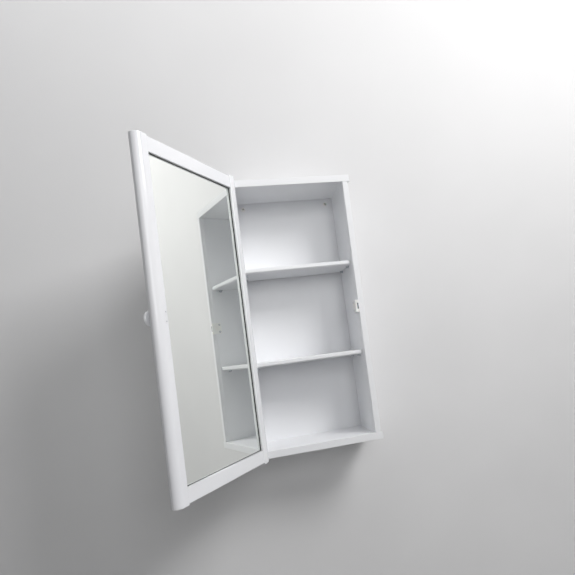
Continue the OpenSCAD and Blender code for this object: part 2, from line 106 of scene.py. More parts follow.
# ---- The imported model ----


@dataclass(frozen=True)
class Span:
    """A box between two corners, in metres."""

    low: Vector
    high: Vector

    @property
    def size(self) -> Vector:
        """Length along each axis."""
        return self.high - self.low

    @property
    def centre(self) -> Vector:
        """Middle of the box."""
        return (self.low + self.high) / 2

    @classmethod
    def around(cls, points: Sequence[Vector]) -> "Span":
        """Finds the box around some points.

        Args:
            points: At least one point.

        Returns:
            The smallest box that holds them.
        """
        low = Vector([min(p[i] for p in points) for i in range(3)])
        high = Vector([max(p[i] for p in points) for i in range(3)])
        return cls(low, high)


@dataclass(frozen=True)
class Hinge:
    """The door's hinge: its lower limit is shut, and the model rests with the door open."""

    pivot: Vector
    axis: Vector
    shut_angle: float

    @classmethod
    def from_joint(cls, joint: dict[str, Any]) -> "Hinge":
        """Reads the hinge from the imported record's entry for the door's joint."""
        shut_angle = math.radians(joint["range_deg"][0])
        return cls(Vector(joint["pos_m"]), Vector(joint["axis"]), shut_angle)

    def to_shut(self) -> Matrix:
        """Gives the turn from where the door rests to where it is shut."""
        there = Matrix.Translation(self.pivot)
        return there @ Matrix.Rotation(self.shut_angle, 4, self.axis) @ there.inverted()

    def to_rest(self) -> Matrix:
        """Gives the turn from the shut door to where it rests."""
        return self.to_shut().inverted()


@dataclass(frozen=True)
class PackedModel:
    """The fixed model, measured as it is with the door shut."""

    nodes: dict[str, bpy.types.Object]
    hinge: Hinge
    door_nodes: frozenset[str]

    @classmethod
    def from_frame(cls, loaded: dict[str, Any]) -> "PackedModel":
        """Takes the nodes, the joint and the record that the loader gives."""
        members = loaded["record"]["behaviour"]["bodies"][Body.DOOR.value]
        return cls(loaded["nodes"], Hinge.from_joint(loaded["joints"][0]), frozenset(members))

    def solids(self, node: str) -> list[Span]:
        """Measures each separate solid of a node.

        Args:
            node: Name of the node.

        Returns:
            One box for each solid, ordered from left to right, front to back and bottom to top.
        """
        bm = bmesh.new()
        bm.from_mesh(self.nodes[node].data)
        if node in self.door_nodes:
            bm.transform(self.hinge.to_shut())
        bmesh.ops.remove_doubles(bm, verts=bm.verts, dist=0.001 * MM)
        found = []
        waiting = set(bm.verts)
        while waiting:
            island = [waiting.pop()]
            for vert in island:
                near = {edge.other_vert(vert) for edge in vert.link_edges} & waiting
                waiting -= near
                island.extend(near)
            found.append(Span.around([vert.co.copy() for vert in island]))
        bm.free()
        return sorted(found, key=lambda span: tuple(round(c, 4) for c in span.centre))

    def span(self, node: str) -> Span:
        """Measures a whole node."""
        solids = self.solids(node)
        return Span.around([corner for solid in solids for corner in (solid.low, solid.high)])


# ---- Finishes ----


def linear(colour: str) -> tuple[float, float, float, float]:
    """Turns an sRGB hex colour to linear light.

    Args:
        colour: Such as "#F2F3F5".

    Returns:
        Red, green, blue and full alpha.
    """
    shares = [int(colour[i : i + 2], 16) / 255 for i in (1, 3, 5)]
    light = [s / 12.92 if s <= 0.04045 else ((s + 0.055) / 1.055) ** 2.4 for s in shares]
    return (*light, 1.0)


def add_node(tree: bpy.types.NodeTree, kind: str, inputs: dict[Any, Any] | None = None,
             **settings: Any) -> bpy.types.Node:
    """Adds a node, sets it up and links it.

    Args:
        tree: The tree it goes in.
        kind: Blender's name for the kind of node.
        inputs: A value, or the socket to link from, for each input's name or number.
        settings: The node's own properties.

    Returns:
        The node.
    """
    node = tree.nodes.new(kind)
    for name, value in settings.items():
        setattr(node, name, value)
    for name, value in (inputs or {}).items():
        if isinstance(value, bpy.types.NodeSocket):
            tree.links.new(value, node.inputs[name])
        else:
            node.inputs[name].default_value = value
    return node


def find_node(tree: bpy.types.NodeTree, kind: str) -> bpy.types.Node:
    """Finds the one node of a kind in a tree."""
    return next(node for node in tree.nodes if node.bl_idname == kind)


def per_metre(size_mm: float) -> float:
    """Gives the texture scale that draws features of a size in millimetres."""
    return 1 / (size_mm * MM)


@dataclass(frozen=True)
class Finish:
    """A surface finish: the base of all the others."""

    name: str
    slot: str
    light: str
    dark: str
    mottle_mm: float
    smooth: float
    rough: float

    def material(self) -> bpy.types.Material:
        """Makes the material, or finds it if it has been made already.

        Returns:
            The material.
        """
        made = bpy.data.materials.get(self.name)
        if made:
            return made
        made = bpy.data.materials.new(self.name)
        made.use_nodes = True
        tree = made.node_tree
        tree.nodes.clear()
        shader = add_node(tree, "ShaderNodeBsdfPrincipled")
        add_node(tree, "ShaderNodeOutputMaterial", {"Surface": shader.outputs["BSDF"]})
        self.dress(tree, shader)
        return made

    def coordinates(self, tree: bpy.types.NodeTree, stretch: Sequence[float] = (1, 1, 1)
                    ) -> bpy.types.NodeSocket:
        """Adds the piece's own coordinates.

        Args:
            tree: The material's tree.
            stretch: How much closer together features are along each axis.

        Returns:
            The socket to read the coordinates from.
        """
        place = add_node(tree, "ShaderNodeTexCoord")
        scaled = add_node(tree, "ShaderNodeMapping", {
            "Vector": place.outputs["Object"], "Scale": tuple(stretch)})
        return scaled.outputs["Vector"]

    def noise(self, tree: bpy.types.NodeTree, size_mm: float, detail: float = 2.0,
              stretch: Sequence[float] = (1, 1, 1)) -> bpy.types.NodeSocket:
        """Adds a soft random pattern.

        Args:
            tree: The material's tree.
            size_mm: Size of one patch.
            detail: How many finer layers lie over it.
            stretch: How much closer together patches are along each axis.

        Returns:
            The socket that gives the pattern.
        """
        pattern = add_node(tree, "ShaderNodeTexNoise", {
            "Vector": self.coordinates(tree, stretch), "Scale": per_metre(size_mm), "Detail": detail})
        return pattern.outputs["Fac"]

    def tint(self, tree: bpy.types.NodeTree, shader: bpy.types.Node,
             pattern: bpy.types.NodeSocket) -> None:
        """Colours the surface between its dark and light tone.

        Args:
            tree: The material's tree.
            shader: The material's shader.
            pattern: What the tone follows.
        """
        tone = add_node(tree, "ShaderNodeValToRGB", {"Fac": pattern})
        tone.color_ramp.elements[0].position = PATTERN_LOW
        tone.color_ramp.elements[0].color = linear(self.dark)
        tone.color_ramp.elements[1].position = PATTERN_HIGH
        tone.color_ramp.elements[1].color = linear(self.light)
        tree.links.new(tone.outputs["Color"], shader.inputs["Base Color"])

    def polish(self, tree: bpy.types.NodeTree, shader: bpy.types.Node,
               pattern: bpy.types.NodeSocket) -> None:
        """Varies the surface between its smooth and rough values.

        Args:
            tree: The material's tree.
            shader: The material's shader.
            pattern: What the roughness follows.
        """
        gloss = add_node(tree, "ShaderNodeMapRange", {
            "Value": pattern, "From Min": PATTERN_LOW, "From Max": PATTERN_HIGH,
            "To Min": self.smooth, "To Max": self.rough})
        tree.links.new(gloss.outputs["Result"], shader.inputs["Roughness"])

    def relief(self, tree: bpy.types.NodeTree, shader: bpy.types.Node,
               pattern: bpy.types.NodeSocket, height_mm: float) -> None:
        """Raises the surface a little.

        Args:
            tree: The material's tree.
            shader: The material's shader.
            pattern: What the height follows.
            height_mm: Height from the lowest to the highest point.
        """
        bump = add_node(tree, "ShaderNodeBump", {"Height": pattern, "Distance": height_mm * MM})
        tree.links.new(bump.outputs["Normal"], shader.inputs["Normal"])

    def dress(self, tree: bpy.types.NodeTree, shader: bpy.types.Node) -> None:
        """Sets the shader up with a mottled tone and gloss.

        Args:
            tree: The material's tree.
            shader: The material's shader.
        """
        pattern = self.noise(tree, self.mottle_mm)
        self.tint(tree, shader, pattern)
        self.polish(tree, shader, pattern)


@dataclass(frozen=True)
class Sprayed(Finish):
    """Paint, lacquer or powder that was sprayed on: a faint orange peel lies all over it."""

    peel_mm: float = 2.0
    peel_height_mm: float = 0.02
    coat: float = 0.0
    coat_rough: float = 0.12

    def dress(self, tree: bpy.types.NodeTree, shader: bpy.types.Node) -> None:
        """Adds the orange peel and the clear coat to the mottled tone.

        Args:
            tree: The material's tree.
            shader: The material's shader.
        """
        super().dress(tree, shader)
        self.relief(tree, shader, self.noise(tree, self.peel_mm), self.peel_height_mm)
        shader.inputs["Coat Weight"].default_value = self.coat
        shader.inputs["Coat Roughness"].default_value = self.coat_rough


@dataclass(frozen=True)
class PaintedWood(Sprayed):
    """Lacquer over a wooden moulding, whose fibres still show as long faint ripples along it."""

    fibre_mm: float = 3.0
    fibre_height_mm: float = 0.03
    run: float = 0.03

    def dress(self, tree: bpy.types.NodeTree, shader: bpy.types.Node) -> None:
        """Puts the fibres under the lacquer.

        Args:
            tree: The material's tree.
            shader: The material's shader.
        """
        super().dress(tree, shader)
        fibres = self.noise(tree, self.fibre_mm, 3.0, (1, 1, self.run))
        self.relief(tree, shader, fibres, self.fibre_height_mm)


@dataclass(frozen=True)
class BareWood(Finish):
    """Planed softwood: straight yearly rings with fine fibres between them."""

    ring_mm: float = 15.08
    fibre_mm: float = 0.9
    fibre_height_mm: float = 0.05
    along: tuple[float, float, float] = (0.04, 1.0, 1.0)

    def dress(self, tree: bpy.types.NodeTree, shader: bpy.types.Node) -> None:
        """Draws the rings in the tone and the fibres in the relief.

        Args:
            tree: The material's tree.
            shader: The material's shader.
        """
        rings = add_node(tree, "ShaderNodeTexWave", {
            "Vector": self.coordinates(tree, self.along), "Scale": BAND_GAP * per_metre(self.ring_mm),
            "Distortion": 3.0, "Detail": 2.0, "Detail Scale": 1.5},
            bands_direction="DIAGONAL")
        self.tint(tree, shader, rings.outputs["Fac"])
        fibres = self.noise(tree, self.fibre_mm, 3.0, self.along)
        self.polish(tree, shader, fibres)
        self.relief(tree, shader, fibres, self.fibre_height_mm)


@dataclass(frozen=True)
class Moulded(Finish):
    """Moulded plastic, rubber or ceramic: an even body colour with a fine texture."""

    grain_mm: float = 0.8
    grain_height_mm: float = 0.01
    depth: float = 0.0

    def dress(self, tree: bpy.types.NodeTree, shader: bpy.types.Node) -> None:
        """Adds the fine texture and lets a little light into the body.

        Args:
            tree: The material's tree.
            shader: The material's shader.
        """
        super().dress(tree, shader)
        self.relief(tree, shader, self.noise(tree, self.grain_mm), self.grain_height_mm)
        shader.inputs["Subsurface Weight"].default_value = self.depth
        shader.inputs["Subsurface Scale"].default_value = MM


@dataclass(frozen=True)
class Plated(Finish):
    """Zinc-plated steel: a bright metal dulled unevenly by the plating bath."""

    scratch_mm: float = 0.6
    scratch_height_mm: float = 0.01

    def dress(self, tree: bpy.types.NodeTree, shader: bpy.types.Node) -> None:
        """Makes the surface metal, with fine tumbling marks.

        Args:
            tree: The material's tree.
            shader: The material's shader.
        """
        super().dress(tree, shader)
        shader.inputs["Metallic"].default_value = 1.0
        self.relief(tree, shader, self.noise(tree, self.scratch_mm, 4.0), self.scratch_height_mm)


@dataclass(frozen=True)
class Silvered(Finish):
    """Silvered float glass: a clean reflection, faintly green, with a trace of wiping left on it."""

    def dress(self, tree: bpy.types.NodeTree, shader: bpy.types.Node) -> None:
        """Makes the surface a mirror.

        Args:
            tree: The material's tree.
            shader: The material's shader.
        """
        self.tint(tree, shader, self.noise(tree, self.mottle_mm))
        self.polish(tree, shader, self.noise(tree, self.mottle_mm, 4.0, (1, 1, 0.15)))
        shader.inputs["Metallic"].default_value = 1.0
        shader.inputs["Coat Weight"].default_value = 0.5
        shader.inputs["Coat Roughness"].default_value = 0.0


# Melamine-faced board sprayed with satin lacquer: a soft, wide highlight on a cool white.
BOARD = Sprayed("satin_lacquered_board", "lacquered_board", "#EEEFF1", "#EBECEF", 160, 0.28, 0.32,
                peel_mm=3, peel_height_mm=0.008)
# Wooden moulding in semi-gloss lacquer: a tighter highlight that ripples along the fibres.
FRAME = PaintedWood("semigloss_lacquered_moulding", "lacquered_frame", "#F5F6F9", "#F1F2F6", 90, 0.21, 0.26,
                    coat=0.3, fibre_height_mm=0.012)
# The rails' fibres run across the door, so their pattern is left unstretched along its height.
RAIL_FRAME = PaintedWood("semigloss_lacquered_rail", "lacquered_frame", "#F5F6F9", "#F1F2F6", 90, 0.21, 0.26,
                         coat=0.3, fibre_height_mm=0.012, run=1.0)
# The knob is turned from the same wood and sprayed with more coats, so that it is glossier.
KNOB = Sprayed("gloss_lacquered_turning", "knob_lacquer", "#F4F5F7", "#EEEFF2", 8, 0.14, 0.2, coat=0.6)
# Planed spruce left bare where nobody sees it: pale straw with darker yearly rings.
SPRUCE = BareWood("planed_spruce", "raw_wood", "#DDC197", "#CCAA78", 12, 0.55, 0.75)
# Grooved beech dowel: pinkish brown, with short fibres.
BEECH = BareWood("beech_dowel", "raw_wood", "#CFA077", "#B78455", 12, 0.5, 0.7, ring_mm=5.655,
                 along=(1.0, 1.0, 0.1))
# Hardboard: pressed brown fibres, matt.
HARDBOARD = Moulded("pressed_hardboard", "raw_wood", "#8F6C48", "#74543A", 3, 0.75, 0.9, grain_mm=1.2,
                    grain_height_mm=0.06)
# Injection-moulded polypropylene: a slightly waxy white that lets a little light in.
POLYPROPYLENE = Moulded("moulded_polypropylene", "white_plastic", "#F3F3F1", "#ECECE9", 20, 0.3, 0.4,
                        depth=0.15)
# Nylon bearing part: creamier and duller than the other plastic.
NYLON = Moulded("turned_nylon", "nylon", "#EDE9DC", "#E3DECF", 6, 0.4, 0.5, depth=0.2)
# Sintered ferrite: a dark, dull ceramic.
FERRITE = Moulded("sintered_ferrite", "ferrite", "#47474A", "#343437", 2, 0.55, 0.7, grain_mm=0.5,
                  grain_height_mm=0.03)
# Extruded rubber strip: nearly black, with a dull bloom.
RUBBER = Moulded("extruded_rubber_seal", "black_seal", "#1D1D1F", "#111112", 15, 0.5, 0.65, grain_mm=0.7,
                 grain_height_mm=0.02)
# Zinc-plated steel, tumbled: bluish grey and unevenly bright.
ZINC = Plated("zinc_plated_steel", "plated_steel", "#C8CBD0", "#AEB2B8", 3, 0.24, 0.42)
# Powder-coated steel sheet: white, with a coarser peel than the lacquer.
POWDER = Sprayed("powder_coated_steel", "coated_steel", "#EEEFF1", "#E7E8EB", 12, 0.32, 0.42, peel_mm=1.1,
                 peel_height_mm=0.03)
# Silvered float glass: a clean reflection with the faint green of the glass.
MIRROR = Silvered("silvered_float_glass", "mirror_glass", "#F6F8F5", "#F3F5F2", 140, 0.004, 0.016)
# Matt wall paint put on with a roller: pale grey with a fine stipple.
WALL_PAINT = Sprayed("rolled_wall_paint", "", "#E3E3E4", "#DFDFE0", 300, 0.7, 0.8, peel_mm=3.5,
                     peel_height_mm=0.12)
# Pale studio floor, matt.
FLOOR_PAINT = Sprayed("studio_floor", "", "#DEDEDD", "#D8D8D7", 400, 0.6, 0.75, peel_mm=6,
                      peel_height_mm=0.1)


# ---- Shaping ----


def rounded(corners: Sequence[tuple[float, ...]], step_deg: float = 10.0) -> list[tuple[float, float]]:
    """Rounds the corners of a closed outline.

    Args:
        corners: For each corner, its place across and up and, if it is rounded, its radius.
        step_deg: The largest turn between two points of a rounding.

    Returns:
        The outline's points.
    """
    points = []
    for i, (across, up, *radius) in enumerate(corners):
        here = Vector((across, up))
        if not radius:
            points.append(tuple(here))
            continue
        back = (Vector(corners[i - 1][:2]) - here).normalized()
        ahead = (Vector(corners[(i + 1) % len(corners)][:2]) - here).normalized()
        half = back.angle(ahead) / 2
        reach = radius[0] / math.tan(half)
        centre = here + (back + ahead).normalized() * (radius[0] / math.sin(half))
        start = here + back * reach - centre
        turn = start.angle_signed(here + ahead * reach - centre)
        steps = max(2, math.ceil(abs(math.degrees(turn)) / step_deg))
        for step in range(steps + 1):
            angle = -turn * step / steps
            spun = Vector((start.x * math.cos(angle) - start.y * math.sin(angle),
                           start.x * math.sin(angle) + start.y * math.cos(angle)))
            points.append(tuple(centre + spun))
    return points


def prism(outline: Sequence[tuple[float, float]], axis: Axis, start: float, end: float
          ) -> bmesh.types.BMesh:
    """Extrudes an outline.

    Args:
        outline: Points of the closed outline, across the axis.
        axis: The direction to extrude in.
        start: Where it starts along the axis.
        end: Where it ends.

    Returns:
        The solid.
    """
    across, up, along = axis.value
    bm = bmesh.new()
    verts = []
    for point in outline:
        place = [0.0, 0.0, 0.0]
        place[across], place[up] = point
        place[along] = start
        verts.append(bm.verts.new(place))
    face = bm.faces.new(verts)
    pushed = bmesh.ops.extrude_face_region(bm, geom=[face])
    shift = Vector((0, 0, 0))
    shift[along] = end - start
    moved = [item for item in pushed["geom"] if isinstance(item, bmesh.types.BMVert)]
    bmesh.ops.translate(bm, verts=moved, vec=shift)
    bmesh.ops.recalc_face_normals(bm, faces=bm.faces)
    return bm


def rectangle(low: Sequence[float], high: Sequence[float], *radius: float) -> list[tuple[float, ...]]:
    """Gives the corners of a rectangle, with the radius of each if it is rounded.

    Args:
        low: The lowest corner, across and up.
        high: The highest corner.
        radius: Nothing, or one radius for all four corners.

    Returns:
        The corners, from the lowest one round.
    """
    (left, bottom), (right, top) = low, high
    return [(left, bottom, *radius), (right, bottom, *radius), (right, top, *radius), (left, top, *radius)]


def block(low: Sequence[float], high: Sequence[float]) -> bmesh.types.BMesh:
    """Makes a box between two corners.

    Args:
        low: The lowest corner.
        high: The highest corner.

    Returns:
        The solid.
    """
    return prism(rectangle(low[:2], high[:2]), Axis.Z, low[2], high[2])


def turned(section: Sequence[tuple[float, float]], steps: int = 48) -> bmesh.types.BMesh:
    """Turns a half section about the Z axis, as on a lathe.

    Args:
        section: Radius and height of each point, from one end to the other.
        steps: Faces around it.

    Returns:
        The solid.
    """
    bm = bmesh.new()
    verts = [bm.verts.new((radius, 0, height)) for radius, height in section]
    edges = [bm.edges.new(pair) for pair in zip(verts, verts[1:])]
    if section[0][0] > 0:
        edges.append(bm.edges.new((verts[-1], verts[0])))
    bmesh.ops.spin(bm, geom=verts + edges, cent=(0, 0, 0), axis=(0, 0, 1), angle=2 * math.pi,
                   steps=steps, use_merge=True)
    bmesh.ops.remove_doubles(bm, verts=bm.verts, dist=0.001 * MM)
    bmesh.ops.recalc_face_normals(bm, faces=bm.faces)
    return bm


def arc_points(centre: tuple[float, float], radius: float, start_deg: float, end_deg: float,
               steps: int = 8) -> list[tuple[float, float]]:
    """Gives points along an arc of a half section.

    Args:
        centre: Radius and height of the arc's centre.
        radius: Radius of the arc.
        start_deg: Where it starts.
        end_deg: Where it ends.
        steps: Stretches between the points.

    Returns:
        The points.
    """
    angles = [math.radians(start_deg + (end_deg - start_deg) * i / steps) for i in range(steps + 1)]
    return [(centre[0] + radius * math.cos(a), centre[1] + radius * math.sin(a)) for a in angles]


def plain_mesh(made: bpy.types.Object) -> bpy.types.Object:
    """Turns what an object's modifiers make into its own plain mesh.

    Args:
        made: The object, with its modifiers.

    Returns:
        The same object, with no modifier left.
    """
    graph = bpy.context.evaluated_depsgraph_get()
    graph.update()
    mesh = bpy.data.meshes.new_from_object(made.evaluated_get(graph), preserve_all_data_layers=True,
                                           depsgraph=graph)
    made.modifiers.clear()
    made.data = mesh
    mesh.name = made.name
    return made


def new_object(name: str, bm: bmesh.types.BMesh) -> bpy.types.Object:
    """Puts a mesh in the scene.

    Args:
        name: The object's name.
        bm: The mesh, which is used up.

    Returns:
        The object, shaded smooth.
    """
    mesh = bpy.data.meshes.new(name)
    bm.to_mesh(mesh)
    bm.free()
    mesh.shade_smooth()
    made = bpy.data.objects.new(name, mesh)
    bpy.context.scene.collection.objects.link(made)
    return made


class Blank:
    """A solid on the bench: it is cut and softened step by step, then finished as a plain mesh."""

    def __init__(self, name: str, solid: bmesh.types.BMesh) -> None:
        """Clamps down the first shape of a named piece."""
        self.made = new_object(name, solid)
        self.tools: list[bpy.types.Object] = []

    def work(self, tool: bmesh.types.BMesh, operation: str) -> "Blank":
        """Cuts with, joins or keeps inside another solid.

        Args:
            tool: The other solid.
            operation: DIFFERENCE, UNION or INTERSECT.

        Returns:
            The blank.
        """
        cutter = new_object(f"{self.made.name}_tool", tool)
        self.tools.append(cutter)
        step = self.made.modifiers.new(operation.lower(), "BOOLEAN")
        step.operation = operation
        step.solver = "EXACT"
        step.object = cutter
        return self

    def cut(self, tool: bmesh.types.BMesh) -> "Blank":
        """Takes the tool's shape away."""
        return self.work(tool, "DIFFERENCE")

    def join(self, tool: bmesh.types.BMesh) -> "Blank":
        """Adds the tool's shape."""
        return self.work(tool, "UNION")

    def trim(self, tool: bmesh.types.BMesh) -> "Blank":
        """Keeps what is inside the tool's shape."""
        return self.work(tool, "INTERSECT")

    def soften(self, width: float, segments: int = 3) -> "Blank":
        """Rounds every edge that is still sharp.

        Args:
            width: How far the rounding reaches from the edge.
            segments: Faces across the rounding.

        Returns:
            The blank.
        """
        step = self.made.modifiers.new("soften", "BEVEL")
        step.limit_method = "ANGLE"
        step.angle_limit = math.radians(SHARP_DEG)
        step.width = width
        step.segments = segments
        step.use_clamp_overlap = False
        return self

    def done(self) -> bpy.types.Object:
        """Finishes the piece.

        Returns:
            The piece, with flat faces shaded flat and roundings shaded round.
        """
        step = self.made.modifiers.new("flat_faces", "WEIGHTED_NORMAL")
        step.keep_sharp = True
        plain_mesh(self.made)
        for tool in self.tools:
            bpy.data.objects.remove(tool)
        return self.made


@dataclass(frozen=True)
class Place:
    """Where one copy of a small part goes, and which way it faces."""

    point: Vector
    facing: Facing


@dataclass(frozen=True)
class CopyTree:
    """Geometry nodes that copy one small part to many places, each turned a little at random."""

    name: str = "copies"
    seed: int = 7

    def tree(self) -> bpy.types.NodeTree:
        """Builds the nodes, or finds them if they have been built already.

        Returns:
            The tree, with inputs named Part, Twist, Seed and Finish.
        """
        tree = bpy.data.node_groups.get(self.name)
        if tree:
            return tree
        tree = bpy.data.node_groups.new(self.name, "GeometryNodeTree")
        face = tree.interface
        for name, kind in (("Places", "Geometry"), ("Part", "Object"), ("Twist", "Float"), ("Seed", "Int"),
                           ("Finish", "Material")):
            face.new_socket(name, in_out="INPUT", socket_type=f"NodeSocket{kind}")
        face.new_socket("Copies", in_out="OUTPUT", socket_type="NodeSocketGeometry")
        given = add_node(tree, "NodeGroupInput")
        facing = add_node(tree, "GeometryNodeInputNamedAttribute", {"Name": "facing"},
                          data_type="FLOAT_VECTOR")
        towards = add_node(tree, "FunctionNodeEulerToRotation", {"Euler": facing.outputs["Attribute"]})
        chance = add_node(tree, "FunctionNodeRandomValue", {"Seed": given.outputs["Seed"]}, data_type="FLOAT")
        highest = next(socket for socket in chance.inputs if socket.name == "Max" and socket.enabled)
        tree.links.new(given.outputs["Twist"], highest)
        angle = next(socket for socket in chance.outputs if socket.enabled)
        about_z = add_node(tree, "ShaderNodeCombineXYZ", {"Z": angle})
        twist = add_node(tree, "FunctionNodeEulerToRotation", {"Euler": about_z.outputs["Vector"]})
        turn = add_node(tree, "FunctionNodeRotateRotation", {
            "Rotation": towards.outputs["Rotation"], "Rotate By": twist.outputs["Rotation"]},
            rotation_space="LOCAL")
        part = add_node(tree, "GeometryNodeObjectInfo", {"Object": given.outputs["Part"]})
        copies = add_node(tree, "GeometryNodeInstanceOnPoints", {
            "Points": given.outputs["Places"], "Instance": part.outputs["Geometry"],
            "Rotation": turn.outputs["Rotation"]})
        real = add_node(tree, "GeometryNodeRealizeInstances", {"Geometry": copies.outputs["Instances"]})
        dressed = add_node(tree, "GeometryNodeSetMaterial", {
            "Geometry": real.outputs["Geometry"], "Material": given.outputs["Finish"]})
        add_node(tree, "NodeGroupOutput", {"Copies": dressed.outputs["Geometry"]})
        return tree

    def copy(self, name: str, part: bpy.types.Object, places: Sequence[Place], finish: Finish,
             twist: float = 0.0) -> bpy.types.Object:
        """Copies a part to its places and removes the pattern that it was copied from.

        Args:
            name: Name of the new piece.
            part: The part to copy, drawn with +Z facing out.
            places: Where the copies go.
            finish: Their finish.
            twist: The largest random turn about each copy's own axis, in radians.

        Returns:
            One plain mesh with all the copies.
        """
        bm = bmesh.new()
        for place in places:
            bm.verts.new(place.point)
        made = new_object(name, bm)
        facing = made.data.attributes.new("facing", "FLOAT_VECTOR", "POINT")
        for i, place in enumerate(places):
            facing.data[i].vector = place.facing.value
        step = made.modifiers.new("copies", "NODES")
        step.node_group = self.tree()
        values = {"Part": part, "Twist": twist, "Seed": self.seed, "Finish": finish.material()}
        for socket in step.node_group.interface.items_tree:
            if socket.name in values:
                step[socket.identifier] = values[socket.name]
        plain_mesh(made)
        bpy.data.objects.remove(part)
        return made


@dataclass(frozen=True)
class Screw:
    """A cross-head screw, drawn with its head's rim at z = 0 and its shank below.

    The rim, the cross's arms and its depth are given as shares of the head's radius.
    """

    head_r: float
    shank_r: float
    length: float
    dome: float
    head_h: float = 0.0
    rim: float = 0.12
    dome_steps: int = 6
    arm: float = 0.58
    arm_half: float = 0.15
    cross_depth: float = 0.7
    cross_taper: float = 0.45

    def shape(self) -> bpy.types.Object:
        """Turns the screw and cuts the cross into its head.

        Returns:
            The screw.
        """
        sink = self.head_h or self.head_r - self.shank_r
        rim = self.rim * self.head_r
        section = [(0.0, self.dome)]
        for i in range(1, self.dome_steps):
            share = i / self.dome_steps
            section.append((self.head_r * share, self.dome * (1 - share ** 2)))
        section += [(self.head_r, -rim * 0.3), (self.head_r, -rim)]
        if self.head_h:
            section.append((self.head_r, -sink))
        section += [(self.shank_r, -sink - (0.0 if self.head_h else rim)),
                    (self.shank_r, 2 * self.shank_r - self.length), (0.0, -self.length)]
        blank = Blank("screw", turned(section, 40))
        return blank.cut(self.cross()).done()

    def cross(self) -> bmesh.types.BMesh:
        """Makes the driver's tip, a tapered cross.

        Returns:
            The solid to cut with.
        """
        arm, half = self.arm * self.head_r, self.arm_half * self.head_r
        depth = self.cross_depth * self.head_r
        corner = [(arm, half), (half, half), (half, arm)]
        outline = []
        for quarter in range(4):
            angle = quarter * math.pi / 2
            for x, y in corner:
                outline.append((x * math.cos(angle) - y * math.sin(angle),
                                x * math.sin(angle) + y * math.cos(angle)))
        bm = prism(outline, Axis.Z, self.dome + 0.5 * MM, -depth)
        for vert in bm.verts:
            if vert.co.z < 0:
                vert.co.xy *= self.cross_taper
        return bm


# ---- The workshop ----


@dataclass
class Workshop:
    """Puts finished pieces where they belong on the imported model."""

    model: PackedModel
    copies: CopyTree = field(default_factory=CopyTree)

    def fit(self, made: bpy.types.Object, finish: Finish, body: Body, *nodes: str) -> None:
        """Finishes a piece, hangs it on its body and hides the nodes that it stands for.

        Args:
            made: The piece, drawn with the door shut.
            finish: Its finish.
            body: The body that it moves with.
            nodes: The nodes that it stands for.
        """
        if body is Body.DOOR:
            made.data.transform(self.model.hinge.to_rest())
        made.data.materials.clear()
        made.data.materials.append(finish.material())
        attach(made, body.value)
        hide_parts(*nodes)
        LOG.info("%s: %d faces, %s, on the %s", made.name, len(made.data.polygons), finish.name, body.value)

    def dress(self, finish: Finish, *nodes: str) -> None:
        """Gives nodes that stay as they are their finish.

        Args:
            finish: The finish.
            nodes: The nodes.
        """
        for node in nodes:
            kept = self.model.nodes[node]
            if not kept.material_slots:
                kept.data.materials.append(None)
            for slot in kept.material_slots:
                slot.material = finish.material()
            LOG.info("%s: kept, %s", node, finish.name)


@dataclass
class Assembly:
    """Pieces that are made together: the base of all the sub-assemblies."""

    shop: Workshop

    def span(self, node: str) -> Span:
        """Measures a whole node with the door shut."""
        return self.shop.model.span(node)

    def solids(self, node: str) -> list[Span]:
        """Measures each solid of a node with the door shut."""
        return self.shop.model.solids(node)

    def ends(self, node: str) -> list[Place]:
        """Finds the outer end of each solid of a node that is both above and below the box.

        Args:
            node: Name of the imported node.

        Returns:
            A place for each solid, facing up or down.
        """
        middle = self.span("back_panel").centre.z
        places = []
        for solid in self.solids(node):
            above = solid.centre.z > middle
            point = Vector((solid.centre.x, solid.centre.y, solid.high.z if above else solid.low.z))
            places.append(Place(point, Facing.UP if above else Facing.DOWN))
        return places

    def hardware(self, name: str, part: bpy.types.Object, places: Sequence[Place], finish: Finish,
                 node: str, body: Body = Body.CABINET, twist: float = 0.0) -> None:
        """Copies a small part to its places and fits the copies as one piece.

        Args:
            name: Name of the new piece.
            part: The part, drawn with +Z facing out.
            places: Where the copies go.
            finish: Their finish.
            node: The node that they stand for.
            body: The body that they move with.
            twist: The largest random turn about each copy's own axis, in radians.
        """
        made = self.shop.copies.copy(name, part, places, finish, twist)
        self.shop.fit(made, finish, body, node)


# ---- The box ----


